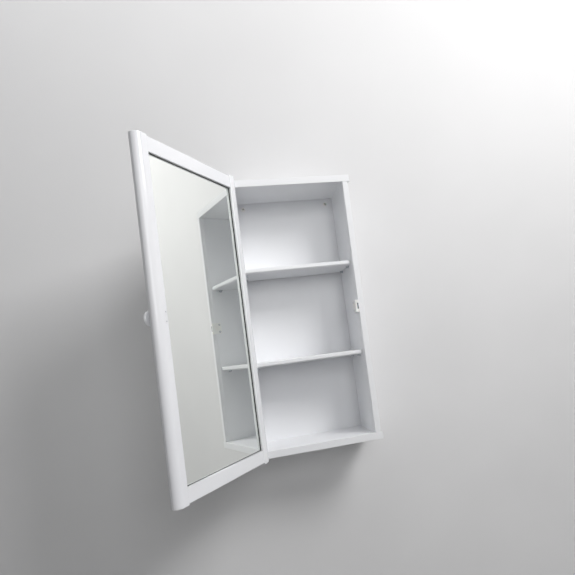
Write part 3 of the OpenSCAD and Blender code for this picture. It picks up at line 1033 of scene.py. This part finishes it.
@dataclass
class Carcass(Assembly):
    """Two ends, two stepped sides and the thin back of the box."""

    arris: float = 0.9 * MM
    front_round: float = 1.4 * MM
    step_w: float = 3.5 * MM
    step_d: float = 5 * MM
    slope_d: float = 6 * MM
    edge: float = 0.4 * MM
    plug_gap: float = 0.15 * MM
    plug_lip: float = 0.3 * MM
    # The plug's dome: share of its radius and height.
    plug_dome: tuple[tuple[float, float], ...] = ((0, 0.3 * MM), (0.5, 0.26 * MM), (0.8, 0.12 * MM))

    def build(self) -> None:
        """Builds and dresses the box."""
        self.end_panel("top_panel", 1)
        self.end_panel("bottom_panel", -1)
        self.side("side_right", 1)
        self.side("side_left", -1)
        self.plugs()
        self.shop.dress(BOARD, "back_panel")
        self.shop.dress(SPRUCE, "hanging_rail", "lower_rail")
        self.shop.dress(BEECH, "panel_dowels")
        self.shop.dress(ZINC, "panel_screws")

    def end_panel(self, node: str, up: int) -> None:
        """Builds the top or the bottom: a board with a rebate for the back and seats for the plugs.

        Args:
            node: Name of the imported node.
            up: 1 for the top and -1 for the bottom.
        """
        board = self.span(node)
        back = self.span("back_panel")
        inner = board.low.z if up > 0 else board.high.z
        rebate = sorted([inner - up * MM, back.high.z if up > 0 else back.low.z])
        corners = [(board.low.x, board.low.y, self.front_round),
                   (board.high.x, board.low.y, self.front_round),
                   (board.high.x, board.high.y), (board.low.x, board.high.y)]
        blank = Blank(f"{node}_board", prism(rounded(corners), Axis.Z, board.low.z, board.high.z))
        blank.cut(block((back.low.x, back.low.y, rebate[0]), (back.high.x, MM, rebate[1])))
        blank.soften(self.arris)
        for plug in self.solids("screw_plugs"):
            if (plug.centre.z - board.centre.z) * up > 0:
                radius = plug.size.x / 2 + self.plug_gap
                seat = turned([(0, -plug.size.z / 2), (radius, -plug.size.z / 2),
                               (radius, 2 * plug.size.z), (0, 2 * plug.size.z)])
                seat.transform(Matrix.Translation(plug.centre) @ Matrix.Diagonal((1, 1, up, 1)))
                bmesh.ops.recalc_face_normals(seat, faces=seat.faces)
                blank.cut(seat)
        self.shop.fit(blank.done(), BOARD, Body.CABINET, node)

    def side(self, node: str, right: int) -> None:
        """Builds a side: stepped back at its front edge, with a rebate for the back.

        Args:
            node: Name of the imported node.
            right: 1 for the right side and -1 for the left.
        """
        board = self.span(node)
        back = self.span("back_panel")
        outer, inner = (board.high.x, board.low.x) if right > 0 else (board.low.x, board.high.x)
        rebate_x = back.high.x if right > 0 else back.low.x
        step_x = inner + right * self.step_w
        step_y = board.low.y + self.step_d
        corners = [(outer, board.low.y, self.front_round), (outer, board.high.y, self.arris),
                   (rebate_x, board.high.y), (rebate_x, back.low.y),
                   (inner, back.low.y), (inner, step_y + self.slope_d),
                   (step_x, step_y, self.arris), (step_x, board.low.y, self.arris)]
        blank = Blank(f"{node}_board", prism(rounded(corners), Axis.Z, board.low.z, board.high.z))
        self.shop.fit(blank.soften(self.edge, 2).done(), BOARD, Body.CABINET, node)

    def plugs(self) -> None:
        """Builds the plugs over the panel screws: flat caps with a low dome."""
        plug = self.solids("screw_plugs")[0]
        radius, thick = plug.size.x / 2, plug.size.z
        section = [(radius * share, height) for share, height in self.plug_dome]
        section += [(radius - self.plug_lip, 0), (radius, -self.plug_lip), (radius, -thick), (0, -thick)]
        cap = Blank("plug", turned(section)).done()
        self.hardware("screw_plug_caps", cap, self.ends("screw_plugs"), POLYPROPYLENE, "screw_plugs")


@dataclass
class Shelves(Assembly):
    """Two loose shelves, each on four pegs."""

    top_round: float = 1.3 * MM
    bevel: float = 2.5 * MM
    collar_r: float = 3.6 * MM
    collar_t: float = 0.8 * MM
    edge: float = 0.6 * MM
    nose: float = 0.8 * MM
    tongue_t: float = 1.5 * MM
    tongue_round: float = 2 * MM

    def build(self) -> None:
        """Builds and dresses both shelves and their pegs."""
        for level in ("upper", "lower"):
            self.shelf(f"shelf_{level}")
            self.pegs(f"shelf_pins_{level}")

    def shelf(self, node: str) -> None:
        """Builds a shelf: rounded above and bevelled below at the front.

        Args:
            node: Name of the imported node.
        """
        board = self.span(node)
        low, high = board.low, board.high
        corners = [(high.y, high.z, self.edge), (low.y, high.z, self.top_round),
                   (low.y, low.z + self.bevel, self.nose),
                   (low.y + self.bevel, low.z, self.nose), (high.y, low.z, self.edge)]
        blank = Blank(f"{node}_board", prism(rounded(corners), Axis.X, low.x, high.x))
        self.shop.fit(blank.soften(self.edge).done(), BOARD, Body.CABINET, node)

    def pegs(self, node: str) -> None:
        """Builds a shelf's pegs: a round shank with a collar and a flat tongue that the shelf lies on.

        Args:
            node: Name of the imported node.
        """
        solids = self.solids(node)
        wall = self.span("side_right").low.x
        peg = solids[-1]
        radius = peg.size.z / 2
        inside, outside = wall - peg.low.x, peg.high.x - wall
        shank = turned([(0, -inside), (radius - 0.5 * MM, -inside), (radius, 0.5 * MM - inside),
                        (radius, -self.collar_t), (self.collar_r - 0.3 * MM, -self.collar_t),
                        (self.collar_r, 0.3 * MM - self.collar_t), (self.collar_r, 0), (radius, 0),
                        (radius, outside - 0.8 * MM), (radius - 0.8 * MM, outside), (0, outside)], 32)
        shank.transform(Matrix.Translation((0, 0, -radius)) @ Matrix.Rotation(math.pi / 2, 4, "Y"))
        half = peg.size.y / 2
        corners = [(-inside, -half, self.tongue_round), (0, -half), (0, half),
                   (-inside, half, self.tongue_round)]
        blank = Blank("peg", shank)
        blank.join(prism(rounded(corners), Axis.Z, -self.tongue_t, 0)).soften(0.2 * MM, 2)
        places = [Place(Vector((math.copysign(wall, s.centre.x), s.centre.y, s.high.z)),
                        Facing.UP if s.centre.x > 0 else Facing.HALF_TURN) for s in solids]
        self.hardware(f"{node}_pegs", blank.done(), places, ZINC, node)


@dataclass
class WallFixings(Assembly):
    """The eyelets for the wall screws and the screws that hold the back."""

    bore_r: float = 2.75 * MM
    flange_t: float = 1.2 * MM
    tube_r: float = 4 * MM
    lip: float = 0.5 * MM
    screw_r: float = 1.25 * MM
    screw_head_t: float = 1.4 * MM
    screw_dome: float = 0.3 * MM

    def build(self) -> None:
        """Builds and dresses the eyelets and the back's screws."""
        self.eyelets()
        self.back_screws()

    def eyelets(self) -> None:
        """Builds the eyelets: a tube through the back with a rounded flange inside the box."""
        solids = self.solids("wall_eyelets")
        rim, depth = solids[0].size.x / 2, solids[0].size.y
        lip = self.lip
        section = [(self.bore_r, -depth), (self.bore_r, -lip), (self.bore_r + lip, 0), (rim - lip, 0),
                   (rim - 0.15 * MM, -0.25 * MM), (rim, -lip), (rim, -self.flange_t),
                   (self.tube_r, -self.flange_t), (self.tube_r, -depth)]
        places = [Place(Vector((s.centre.x, s.low.y, s.centre.z)), Facing.FRONT) for s in solids]
        eyelet = Blank("eyelet", turned(section)).done()
        self.hardware("wall_screw_eyelets", eyelet, places, POLYPROPYLENE, "wall_eyelets")

    def back_screws(self) -> None:
        """Builds the pan-head screws that hold the back in its rebates."""
        solids = self.solids("back_screws")
        size, dome = solids[0].size, self.screw_dome
        screw = Screw(size.x / 2, self.screw_r, size.y - dome, dome, self.screw_head_t - dome)
        places = [Place(Vector((s.centre.x, s.high.y - dome, s.centre.z)), Facing.BACK) for s in solids]
        self.hardware("back_panel_screws", screw.shape(), places, ZINC, "back_screws", twist=math.pi)


# ---- The hinge and the catch ----


@dataclass
class PinHinge(Assembly):
    """Cranked brackets above and below, each with a pin that the door turns on."""

    sheet: float = 1.6 * MM
    bend: float = 0.7 * MM
    head_t: float = 1 * MM
    pin_r: float = 2.5 * MM
    pin_tip: float = 0.4 * MM
    # The pin's head: share of its radius and height.
    pin_dome: tuple[tuple[float, float], ...] = (
        (0, 0), (0.55, -0.08 * MM), (0.85, -0.3 * MM), (1, -0.7 * MM))
    washer_edge: float = 0.15 * MM
    foot_corner: float = 3 * MM
    edge: float = 0.2 * MM
    screw_r: float = 1.5 * MM
    screw_dome: float = 0.35 * MM

    def build(self) -> None:
        """Builds and dresses both ends of the hinge."""
        self.bracket("hinge_bracket_upper", 1)
        self.bracket("hinge_bracket_lower", -1)
        self.pins()
        self.washers()
        self.screws()
        self.shop.dress(NYLON, "hinge_bushes")

    def bracket(self, node: str, up: int) -> None:
        """Builds a bracket: a foot on the panel, a crank and a round ear over the door's stile.

        Args:
            node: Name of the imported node.
            up: 1 for the upper bracket and -1 for the lower.
        """
        span = self.span(node)
        front = self.span("top_panel").low.y + 0.6 * MM
        foot, ear = (span.low.z, span.high.z) if up > 0 else (span.high.z, span.low.z)
        under_ear, on_foot = ear - up * self.sheet, foot + up * self.sheet
        crank = front + self.sheet
        section = [(span.high.y, foot), (front, foot, self.bend),
                   (front, under_ear, self.bend / 2), (span.low.y, under_ear),
                   (span.low.y, ear), (crank, ear, self.bend),
                   (crank, on_foot, self.bend / 2), (span.high.y, on_foot)]
        half = span.size.x / 2
        plan = [(span.low.x, span.low.y, half * 0.999), (span.high.x, span.low.y, half * 0.999),
                (span.high.x, span.high.y, self.foot_corner), (span.low.x, span.high.y, self.foot_corner)]
        blank = Blank(f"{node}_sheet", prism(rounded(section), Axis.X, span.low.x - MM, span.high.x + MM))
        blank.trim(prism(rounded(plan), Axis.Z, span.low.z - MM, span.high.z + MM))
        self.shop.fit(blank.soften(self.edge, 2).done(), POWDER, Body.CABINET, node)

    def pins(self) -> None:
        """Builds the hinge pins: a rivet-like head on a straight shank."""
        solid = self.solids("hinge_pins")[0]
        head, length = solid.size.x / 2, solid.size.z
        section = [(head * share, height) for share, height in self.pin_dome]
        section += [(head, -self.head_t), (self.pin_r, -self.head_t), (self.pin_r, self.pin_tip - length),
                    (self.pin_r - self.pin_tip, -length), (0, -length)]
        pin = Blank("pin", turned(section)).done()
        self.hardware("hinge_pivot_pins", pin, self.ends("hinge_pins"), ZINC, "hinge_pins")

    def washers(self) -> None:
        """Builds the washers between the stile's ends and the ears."""
        solid = self.solids("hinge_washers")[0]
        rim, thick, soft = solid.size.x / 2, solid.size.z, self.washer_edge
        section = [(self.pin_r, -thick), (self.pin_r, 0), (rim - soft, 0), (rim, -soft), (rim, soft - thick),
                   (rim - soft, -thick)]
        washer = Blank("washer", turned(section)).done()
        self.hardware("hinge_pivot_washers", washer, self.ends("hinge_washers"), NYLON, "hinge_washers")

    def screws(self) -> None:
        """Builds the raised countersunk screws of the brackets."""
        solid = self.solids("bracket_screws")[0]
        screw = Screw(solid.size.x / 2, self.screw_r, solid.size.z, self.screw_dome)
        self.hardware("bracket_wood_screws", screw.shape(), self.ends("bracket_screws"), ZINC,
                      "bracket_screws", twist=math.pi)


@dataclass
class MagneticCatch(Assembly):
    """The catch on the right side, and the strike plate that it holds on the door."""

    screw_r: float = 1.5 * MM
    screw_dome: float = 0.35 * MM
    case_round: float = 1.2 * MM
    case_edge: float = 0.5 * MM
    plate_corner: float = 1.5 * MM
    plate_screw_r: float = 0.8 * MM
    plate_screw_dome: float = 0.12 * MM

    def build(self) -> None:
        """Builds and dresses the catch and the strike plate."""
        self.housing()
        self.catch_screws()
        self.strike()
        self.shop.dress(FERRITE, "catch_magnet")
        self.shop.dress(ZINC, "catch_poles")

    def housing(self) -> None:
        """Builds the housing: it fits the stepped edge of the side and holds the magnet in a pocket."""
        span = self.span("catch_housing")
        poles = self.span("catch_poles")
        side = self.span("side_right")
        step_y = side.low.y + Carcass.step_d
        corners = [(span.low.x, span.low.y, self.case_round), (span.high.x, span.low.y, 0.3 * MM),
                   (span.high.x, step_y), (side.low.x, step_y + Carcass.slope_d),
                   (side.low.x, span.high.y), (span.low.x, span.high.y, 1.6 * MM)]
        blank = Blank("catch_case", prism(rounded(corners), Axis.Z, span.low.z, span.high.z))
        blank.soften(self.case_edge)
        blank.cut(block((poles.low.x, poles.low.y - MM, poles.low.z), tuple(poles.high)))
        self.shop.fit(blank.done(), POLYPROPYLENE, Body.CABINET, "catch_housing")

    def catch_screws(self) -> None:
        """Builds the two screws that hold the catch to the side."""
        solids = self.solids("catch_screws")
        screw = Screw(solids[0].size.z / 2, self.screw_r, solids[0].size.x, self.screw_dome)
        places = [Place(Vector((s.low.x, s.centre.y, s.centre.z)), Facing.LEFT) for s in solids]
        self.hardware("catch_wood_screws", screw.shape(), places, ZINC, "catch_screws", twist=math.pi)

    def strike(self) -> None:
        """Builds the strike plate, let into the free stile, and its screws."""
        span = self.span("strike_plate")
        corners = rectangle(span.low.xz, span.high.xz, self.plate_corner)
        plate = Blank("strike_steel", prism(rounded(corners), Axis.Y, span.low.y, span.high.y))
        self.shop.fit(plate.soften(0.15 * MM, 2).done(), POWDER, Body.DOOR, "strike_plate")
        solids = self.solids("strike_screws")
        screw = Screw(solids[0].size.x / 2, self.plate_screw_r, solids[0].size.y, self.plate_screw_dome)
        places = [Place(Vector((s.centre.x, s.high.y, s.centre.z)), Facing.BACK) for s in solids]
        self.hardware("strike_plate_screws", screw.shape(), places, ZINC, "strike_screws", Body.DOOR, math.pi)


# ---- The door ----


@dataclass
class DoorFrame(Assembly):
    """Two rounded stiles and two rails, grooved for the panes."""

    inner_round: float = 13 * MM
    outer_round: float = 8 * MM
    sight_round: float = 1.2 * MM
    rail_round: float = 2 * MM
    end_round: float = 1.1 * MM
    groove_d: float = 7 * MM
    plate_gap: float = 0.1 * MM

    @property
    def groove(self) -> tuple[float, float]:
        """Front and rear of the groove, from the two seals."""
        return self.span("seal_outer").low.y, self.span("seal_inner").high.y

    def build(self) -> None:
        """Builds and dresses the frame."""
        self.stile("stile_hinge", -1)
        self.stile("stile_free", 1)
        self.rail("rail_top", 1)
        self.rail("rail_bottom", -1)
        self.shop.dress(BEECH, "frame_dowels")

    def stile(self, node: str, right: int) -> None:
        """Builds a stile: wide roundings at the edge and a groove towards the panes.

        Args:
            node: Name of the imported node.
            right: 1 for the free stile and -1 for the hinge stile.
        """
        span = self.span(node)
        edge, sight = (span.high.x, span.low.x) if right > 0 else (span.low.x, span.high.x)
        corners = [(edge, span.low.y, self.outer_round), (edge, span.high.y, self.inner_round),
                   (sight, span.high.y, self.sight_round), (sight, span.low.y, self.sight_round)]
        blank = Blank(f"{node}_moulding", prism(rounded(corners), Axis.Z, span.low.z, span.high.z))
        blank.soften(self.end_round)
        front, rear = self.groove
        across = sorted([sight - right * MM, sight + right * self.groove_d])
        low_z = self.span("rail_bottom").low.z
        high_z = self.span("rail_top").high.z
        blank.cut(block((across[0], front, low_z), (across[1], rear, high_z)))
        if right > 0:
            plate = self.span("strike_plate")
            gap = self.plate_gap
            blank.cut(block((plate.low.x - gap, plate.low.y, plate.low.z - gap),
                            (plate.high.x + gap, plate.high.y + MM, plate.high.z + gap)))
        self.shop.fit(blank.done(), FRAME, Body.DOOR, node)

    def rail(self, node: str, up: int) -> None:
        """Builds a rail: a grooved bar with a tongue at each end that goes into the stiles.

        Args:
            node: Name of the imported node.
            up: 1 for the top rail and -1 for the bottom.
        """
        span = self.span(node)
        sight_x = self.span("stile_free").low.x
        sight, outer = (span.low.z, span.high.z) if up > 0 else (span.high.z, span.low.z)
        corners = [(span.low.y, sight, self.sight_round), (span.low.y, outer, self.rail_round),
                   (span.high.y, outer, self.rail_round), (span.high.y, sight, self.sight_round)]
        front, rear = self.groove
        depth = sorted([sight - up * MM, sight + up * self.groove_d])
        blank = Blank(f"{node}_moulding", prism(rounded(corners), Axis.X, -sight_x, sight_x))
        blank.join(block((span.low.x, front, span.low.z), (span.high.x, rear, span.high.z)))
        blank.cut(block((span.low.x - MM, front, depth[0]), (span.high.x + MM, rear, depth[1])))
        self.shop.fit(blank.done(), RAIL_FRAME, Body.DOOR, node)


@dataclass
class Glazing(Assembly):
    """A mirror on each face of the door with a board between them, held by rubber seals."""

    ground_edge: float = 0.4 * MM
    lip_show: float = 0.5 * MM
    lip_round: float = 0.45 * MM

    def build(self) -> None:
        """Builds and dresses the panes and the seals."""
        self.pane("mirror_inner")
        self.pane("mirror_outer")
        self.seal("seal_inner", 1)
        self.seal("seal_outer", -1)
        self.shop.dress(HARDBOARD, "door_core")

    def pane(self, node: str) -> None:
        """Builds a mirror with its edges ground.

        Args:
            node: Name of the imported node.
        """
        span = self.span(node)
        blank = Blank(f"{node}_pane", block(tuple(span.low), tuple(span.high)))
        self.shop.fit(blank.soften(self.ground_edge, 2).done(), MIRROR, Body.DOOR, node)

    def seal(self, node: str, back: int) -> None:
        """Builds a seal: a mitred ring whose rounded lip just shows inside the frame.

        Args:
            node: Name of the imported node.
            back: 1 for the seal on the cabinet's side and -1 for the one outside.
        """
        span = self.span(node)
        sight_x = self.span("stile_free").low.x
        width = span.high.x - sight_x + self.lip_show
        near, far = (span.high.y, span.low.y) if back > 0 else (span.low.y, span.high.y)
        soft = min(self.lip_round, span.size.y / 2)
        section = [(0.0, near), (width - soft, near), (width, near - back * soft), (width, far), (0.0, far)]
        bm = bmesh.new()
        loops = []
        for inset, y in section:
            x, low_z, high_z = span.high.x - inset, span.low.z + inset, span.high.z - inset
            corners = rectangle((-x, low_z), (x, high_z))
            loops.append([bm.verts.new((cx, y, cz)) for cx, cz in corners])
        for i, loop in enumerate(loops):
            following = loops[(i + 1) % len(loops)]
            for k in range(4):
                after = (k + 1) % 4
                bm.faces.new((loop[k], loop[after], following[after], following[k]))
        bmesh.ops.recalc_face_normals(bm, faces=bm.faces)
        self.shop.fit(Blank(f"{node}_strip", bm).done(), RUBBER, Body.DOOR, node)


@dataclass
class DoorKnob(Assembly):
    """A round lacquered knob on the outer face, near the free edge."""

    neck_r: float = 6 * MM
    neck: float = 4.5 * MM
    waist_round: float = 2 * MM
    rim_round: float = 3 * MM
    crown: float = 0.5 * MM
    foot: float = 0.4 * MM
    # The crown's middle: share of the rim's radius and depth below the top.
    crown_dome: tuple[tuple[float, float], ...] = ((0.6, 0.2 * MM), (0.3, 0.05 * MM), (0, 0))

    def build(self) -> None:
        """Turns the knob and sets it on its seat."""
        span = self.span("knob")
        radius, height = span.size.x / 2, span.size.y
        rim = radius - self.rim_round
        section = [(0, 0), (self.neck_r, 0), (self.neck_r, self.foot)]
        waist = (self.neck_r + 0.6 * self.waist_round, self.neck / 2)
        section += arc_points(waist, self.waist_round, 230, 130, 8)
        section += arc_points((rim, self.neck + self.rim_round), self.rim_round, -90, 0, 8)
        section += arc_points((rim, height - self.rim_round - self.crown), self.rim_round, 0, 78, 8)[1:]
        section += [(rim * share, height - depth) for share, depth in self.crown_dome]
        knob = new_object("turned_knob", turned(section, 72))
        seat = Vector((span.centre.x, span.high.y, span.centre.z))
        knob.data.transform(Matrix.Translation(seat) @ Euler(Facing.FRONT.value).to_matrix().to_4x4())
        self.shop.fit(knob, KNOB, Body.DOOR, "knob")
        self.shop.dress(ZINC, "knob_stud")


# ---- The studio ----


@dataclass(frozen=True)
class Lamp:
    """A soft square lamp: where it hangs, what it points at, its side, its power and its colour."""

    name: str
    at: tuple[float, float, float]
    towards: tuple[float, float, float]
    side: float
    watts: float
    colour: str = "#FFFFFF"

    def hang(self) -> None:
        """Hangs the lamp and points it."""
        light = bpy.data.lights.new(self.name, "AREA")
        light.size, light.energy = self.side, self.watts
        light.color = linear(self.colour)[:3]
        lamp = bpy.data.objects.new(self.name, light)
        aim = Vector(self.towards) - Vector(self.at)
        lamp.matrix_world = Matrix.Translation(self.at) @ aim.to_track_quat("-Z", "Y").to_matrix().to_4x4()
        bpy.context.scene.collection.objects.link(lamp)


LAMPS = (
    Lamp("key_softbox", (1.25, -1.5, 1.15), (0.05, 0.0, -0.15), side=0.9, watts=38.5, colour="#FFFEFD"),
    Lamp("front_softbox", (0.2, -2.8, 0.4), (0.0, 0.0, -0.2), side=1.2, watts=16.5),
    Lamp("top_softbox", (0.1, -1.1, 2.0), (0.0, 0.0, 0.3), side=1.2, watts=5.0),
    Lamp("wall_softbox", (-0.7, -0.6, 1.3), (-0.35, 0.0, 0.3), side=0.8, watts=4.0),
    Lamp("back_softbox", (0.2, 2.0, 2.6), (0.0, 0.0, -0.3), side=1.2, watts=60.0),
)


@dataclass
class Studio:
    """A pale wall behind the cabinet, a pale floor, soft lights and the camera."""

    model: PackedModel
    wall_half: float = 6.0
    wall_gap: float = 0.3 * MM
    floor_z: float = -2.0
    room_light: float = 0.06
    room_seen: float = 0.6
    room_colour: str = "#F0F1F3"
    floor_glow: float = 0.42
    camera_at: tuple[float, float, float] = (-0.1519, -1.2304, -0.3645)
    yaw_deg: float = -12.98
    pitch_deg: float = 2.4
    roll_deg: float = 7.56
    lens_mm: float = 30.48
    sensor_mm: float = 36
    shift: tuple[float, float] = (-0.1087, 0.0619)

    def build(self) -> None:
        """Sets the studio up."""
        self.wall()
        self.floor()
        self.room()
        for lamp in LAMPS:
            lamp.hang()
        self.camera()

    def wall(self) -> None:
        """Builds the wall, which is seen from the room only, with an opening behind the whole cabinet."""
        top, bottom = self.model.span("top_panel"), self.model.span("bottom_panel")
        wide, narrow = top.high.x - MM, self.model.span("side_right").high.x - MM
        xs = [-self.wall_half, -wide, -narrow, narrow, wide, self.wall_half]
        zs = [self.floor_z, bottom.low.z + MM, bottom.high.z - MM, top.low.z + MM, top.high.z - MM,
              self.wall_half]
        opening = {(1, 1), (1, 2), (1, 3), (2, 2), (3, 1), (3, 2), (3, 3)}
        bm = bmesh.new()
        grid = [[bm.verts.new((x, self.wall_gap, z)) for x in xs] for z in zs]
        for row in range(len(zs) - 1):
            for column in range(len(xs) - 1):
                if (row, column) not in opening:
                    bm.faces.new((grid[row][column], grid[row][column + 1],
                                  grid[row + 1][column + 1], grid[row + 1][column]))
        made = new_object("studio_wall", bm)
        made.data.materials.append(self.one_sided(WALL_PAINT))

    def one_sided(self, finish: Finish) -> bpy.types.Material:
        """Lets the wall be looked through from behind, so that the cabinet's back can be seen.

        Args:
            finish: The wall's finish.

        Returns:
            The finish's material, clear on the wall's rear face.
        """
        made = finish.material()
        tree = made.node_tree
        output = find_node(tree, "ShaderNodeOutputMaterial")
        shader = find_node(tree, "ShaderNodeBsdfPrincipled")
        side = add_node(tree, "ShaderNodeNewGeometry")
        clear = add_node(tree, "ShaderNodeBsdfTransparent")
        mixed = add_node(tree, "ShaderNodeMixShader", {
            0: side.outputs["Backfacing"], 1: shader.outputs["BSDF"], 2: clear.outputs["BSDF"]})
        tree.links.new(mixed.outputs["Shader"], output.inputs["Surface"])
        return made

    def floor(self) -> None:
        """Builds the floor."""
        half = self.wall_half
        bm = bmesh.new()
        corners = rectangle((-half, -half), (half, half))
        bm.faces.new([bm.verts.new((x, y, self.floor_z)) for x, y in corners])
        made = new_object("studio_floor_sheet", bm)
        paint = FLOOR_PAINT.material()
        made.data.materials.append(paint)
        tree = paint.node_tree
        shader = find_node(tree, "ShaderNodeBsdfPrincipled")
        glow = add_node(tree, "ShaderNodeMath", {
            0: self.seen(tree), 1: self.floor_glow}, operation="MULTIPLY")
        tree.links.new(glow.outputs["Value"], shader.inputs["Emission Strength"])
        shader.inputs["Emission Color"].default_value = linear(FLOOR_PAINT.light)

    def seen(self, tree: bpy.types.NodeTree) -> bpy.types.NodeSocket:
        """Adds a switch for what should look pale without lighting anything else.

        Args:
            tree: The tree that needs it.

        Returns:
            A socket that is 1 where something is seen or mirrored, and 0 where it lights something else.
        """
        ray = add_node(tree, "ShaderNodeLightPath")
        either = add_node(tree, "ShaderNodeMath", {
            0: ray.outputs["Is Camera Ray"], 1: ray.outputs["Is Glossy Ray"]}, operation="MAXIMUM")
        return either.outputs["Value"]

    def room(self) -> None:
        """Puts a pale room all round: it is seen and mirrored as pale, but adds little light of its own."""
        world = bpy.data.worlds.new("studio_room")
        world.use_nodes = True
        tree = world.node_tree
        tree.nodes.clear()
        strength = add_node(tree, "ShaderNodeMapRange", {
            "Value": self.seen(tree), "To Min": self.room_light, "To Max": self.room_seen})
        pale = add_node(tree, "ShaderNodeBackground", {
            "Color": linear(self.room_colour), "Strength": strength.outputs["Result"]})
        add_node(tree, "ShaderNodeOutputWorld", {"Surface": pale.outputs["Background"]})
        bpy.context.scene.world = world

    def camera(self) -> None:
        """Sets the camera up: a little right of the cabinet's left side, looking in, tilted over."""
        data = bpy.data.cameras.new("view")
        data.sensor_width = self.sensor_mm
        data.lens = self.lens_mm
        data.shift_x, data.shift_y = self.shift
        turn = (Matrix.Rotation(math.radians(self.yaw_deg), 4, "Z")
                @ Matrix.Rotation(math.radians(self.pitch_deg), 4, "X")
                @ Matrix.Rotation(math.radians(self.roll_deg), 4, "Y")
                @ Matrix.Rotation(math.pi / 2, 4, "X"))
        camera = bpy.data.objects.new("view", data)
        camera.matrix_world = Matrix.Translation(self.camera_at) @ turn
        bpy.context.scene.collection.objects.link(camera)
        bpy.context.scene.camera = camera
        bpy.context.scene.view_settings.view_transform = "Standard"


def main() -> None:
    """Builds every sub-assembly in order."""
    logging.basicConfig(level=logging.INFO, format="%(message)s")
    model = PackedModel.from_frame(frame)
    shop = Workshop(model)
    for assembly in (Carcass, Shelves, WallFixings, PinHinge, MagneticCatch, DoorFrame, Glazing, DoorKnob):
        assembly(shop).build()
    Studio(model).build()


if __name__ == "__main__":
    main()
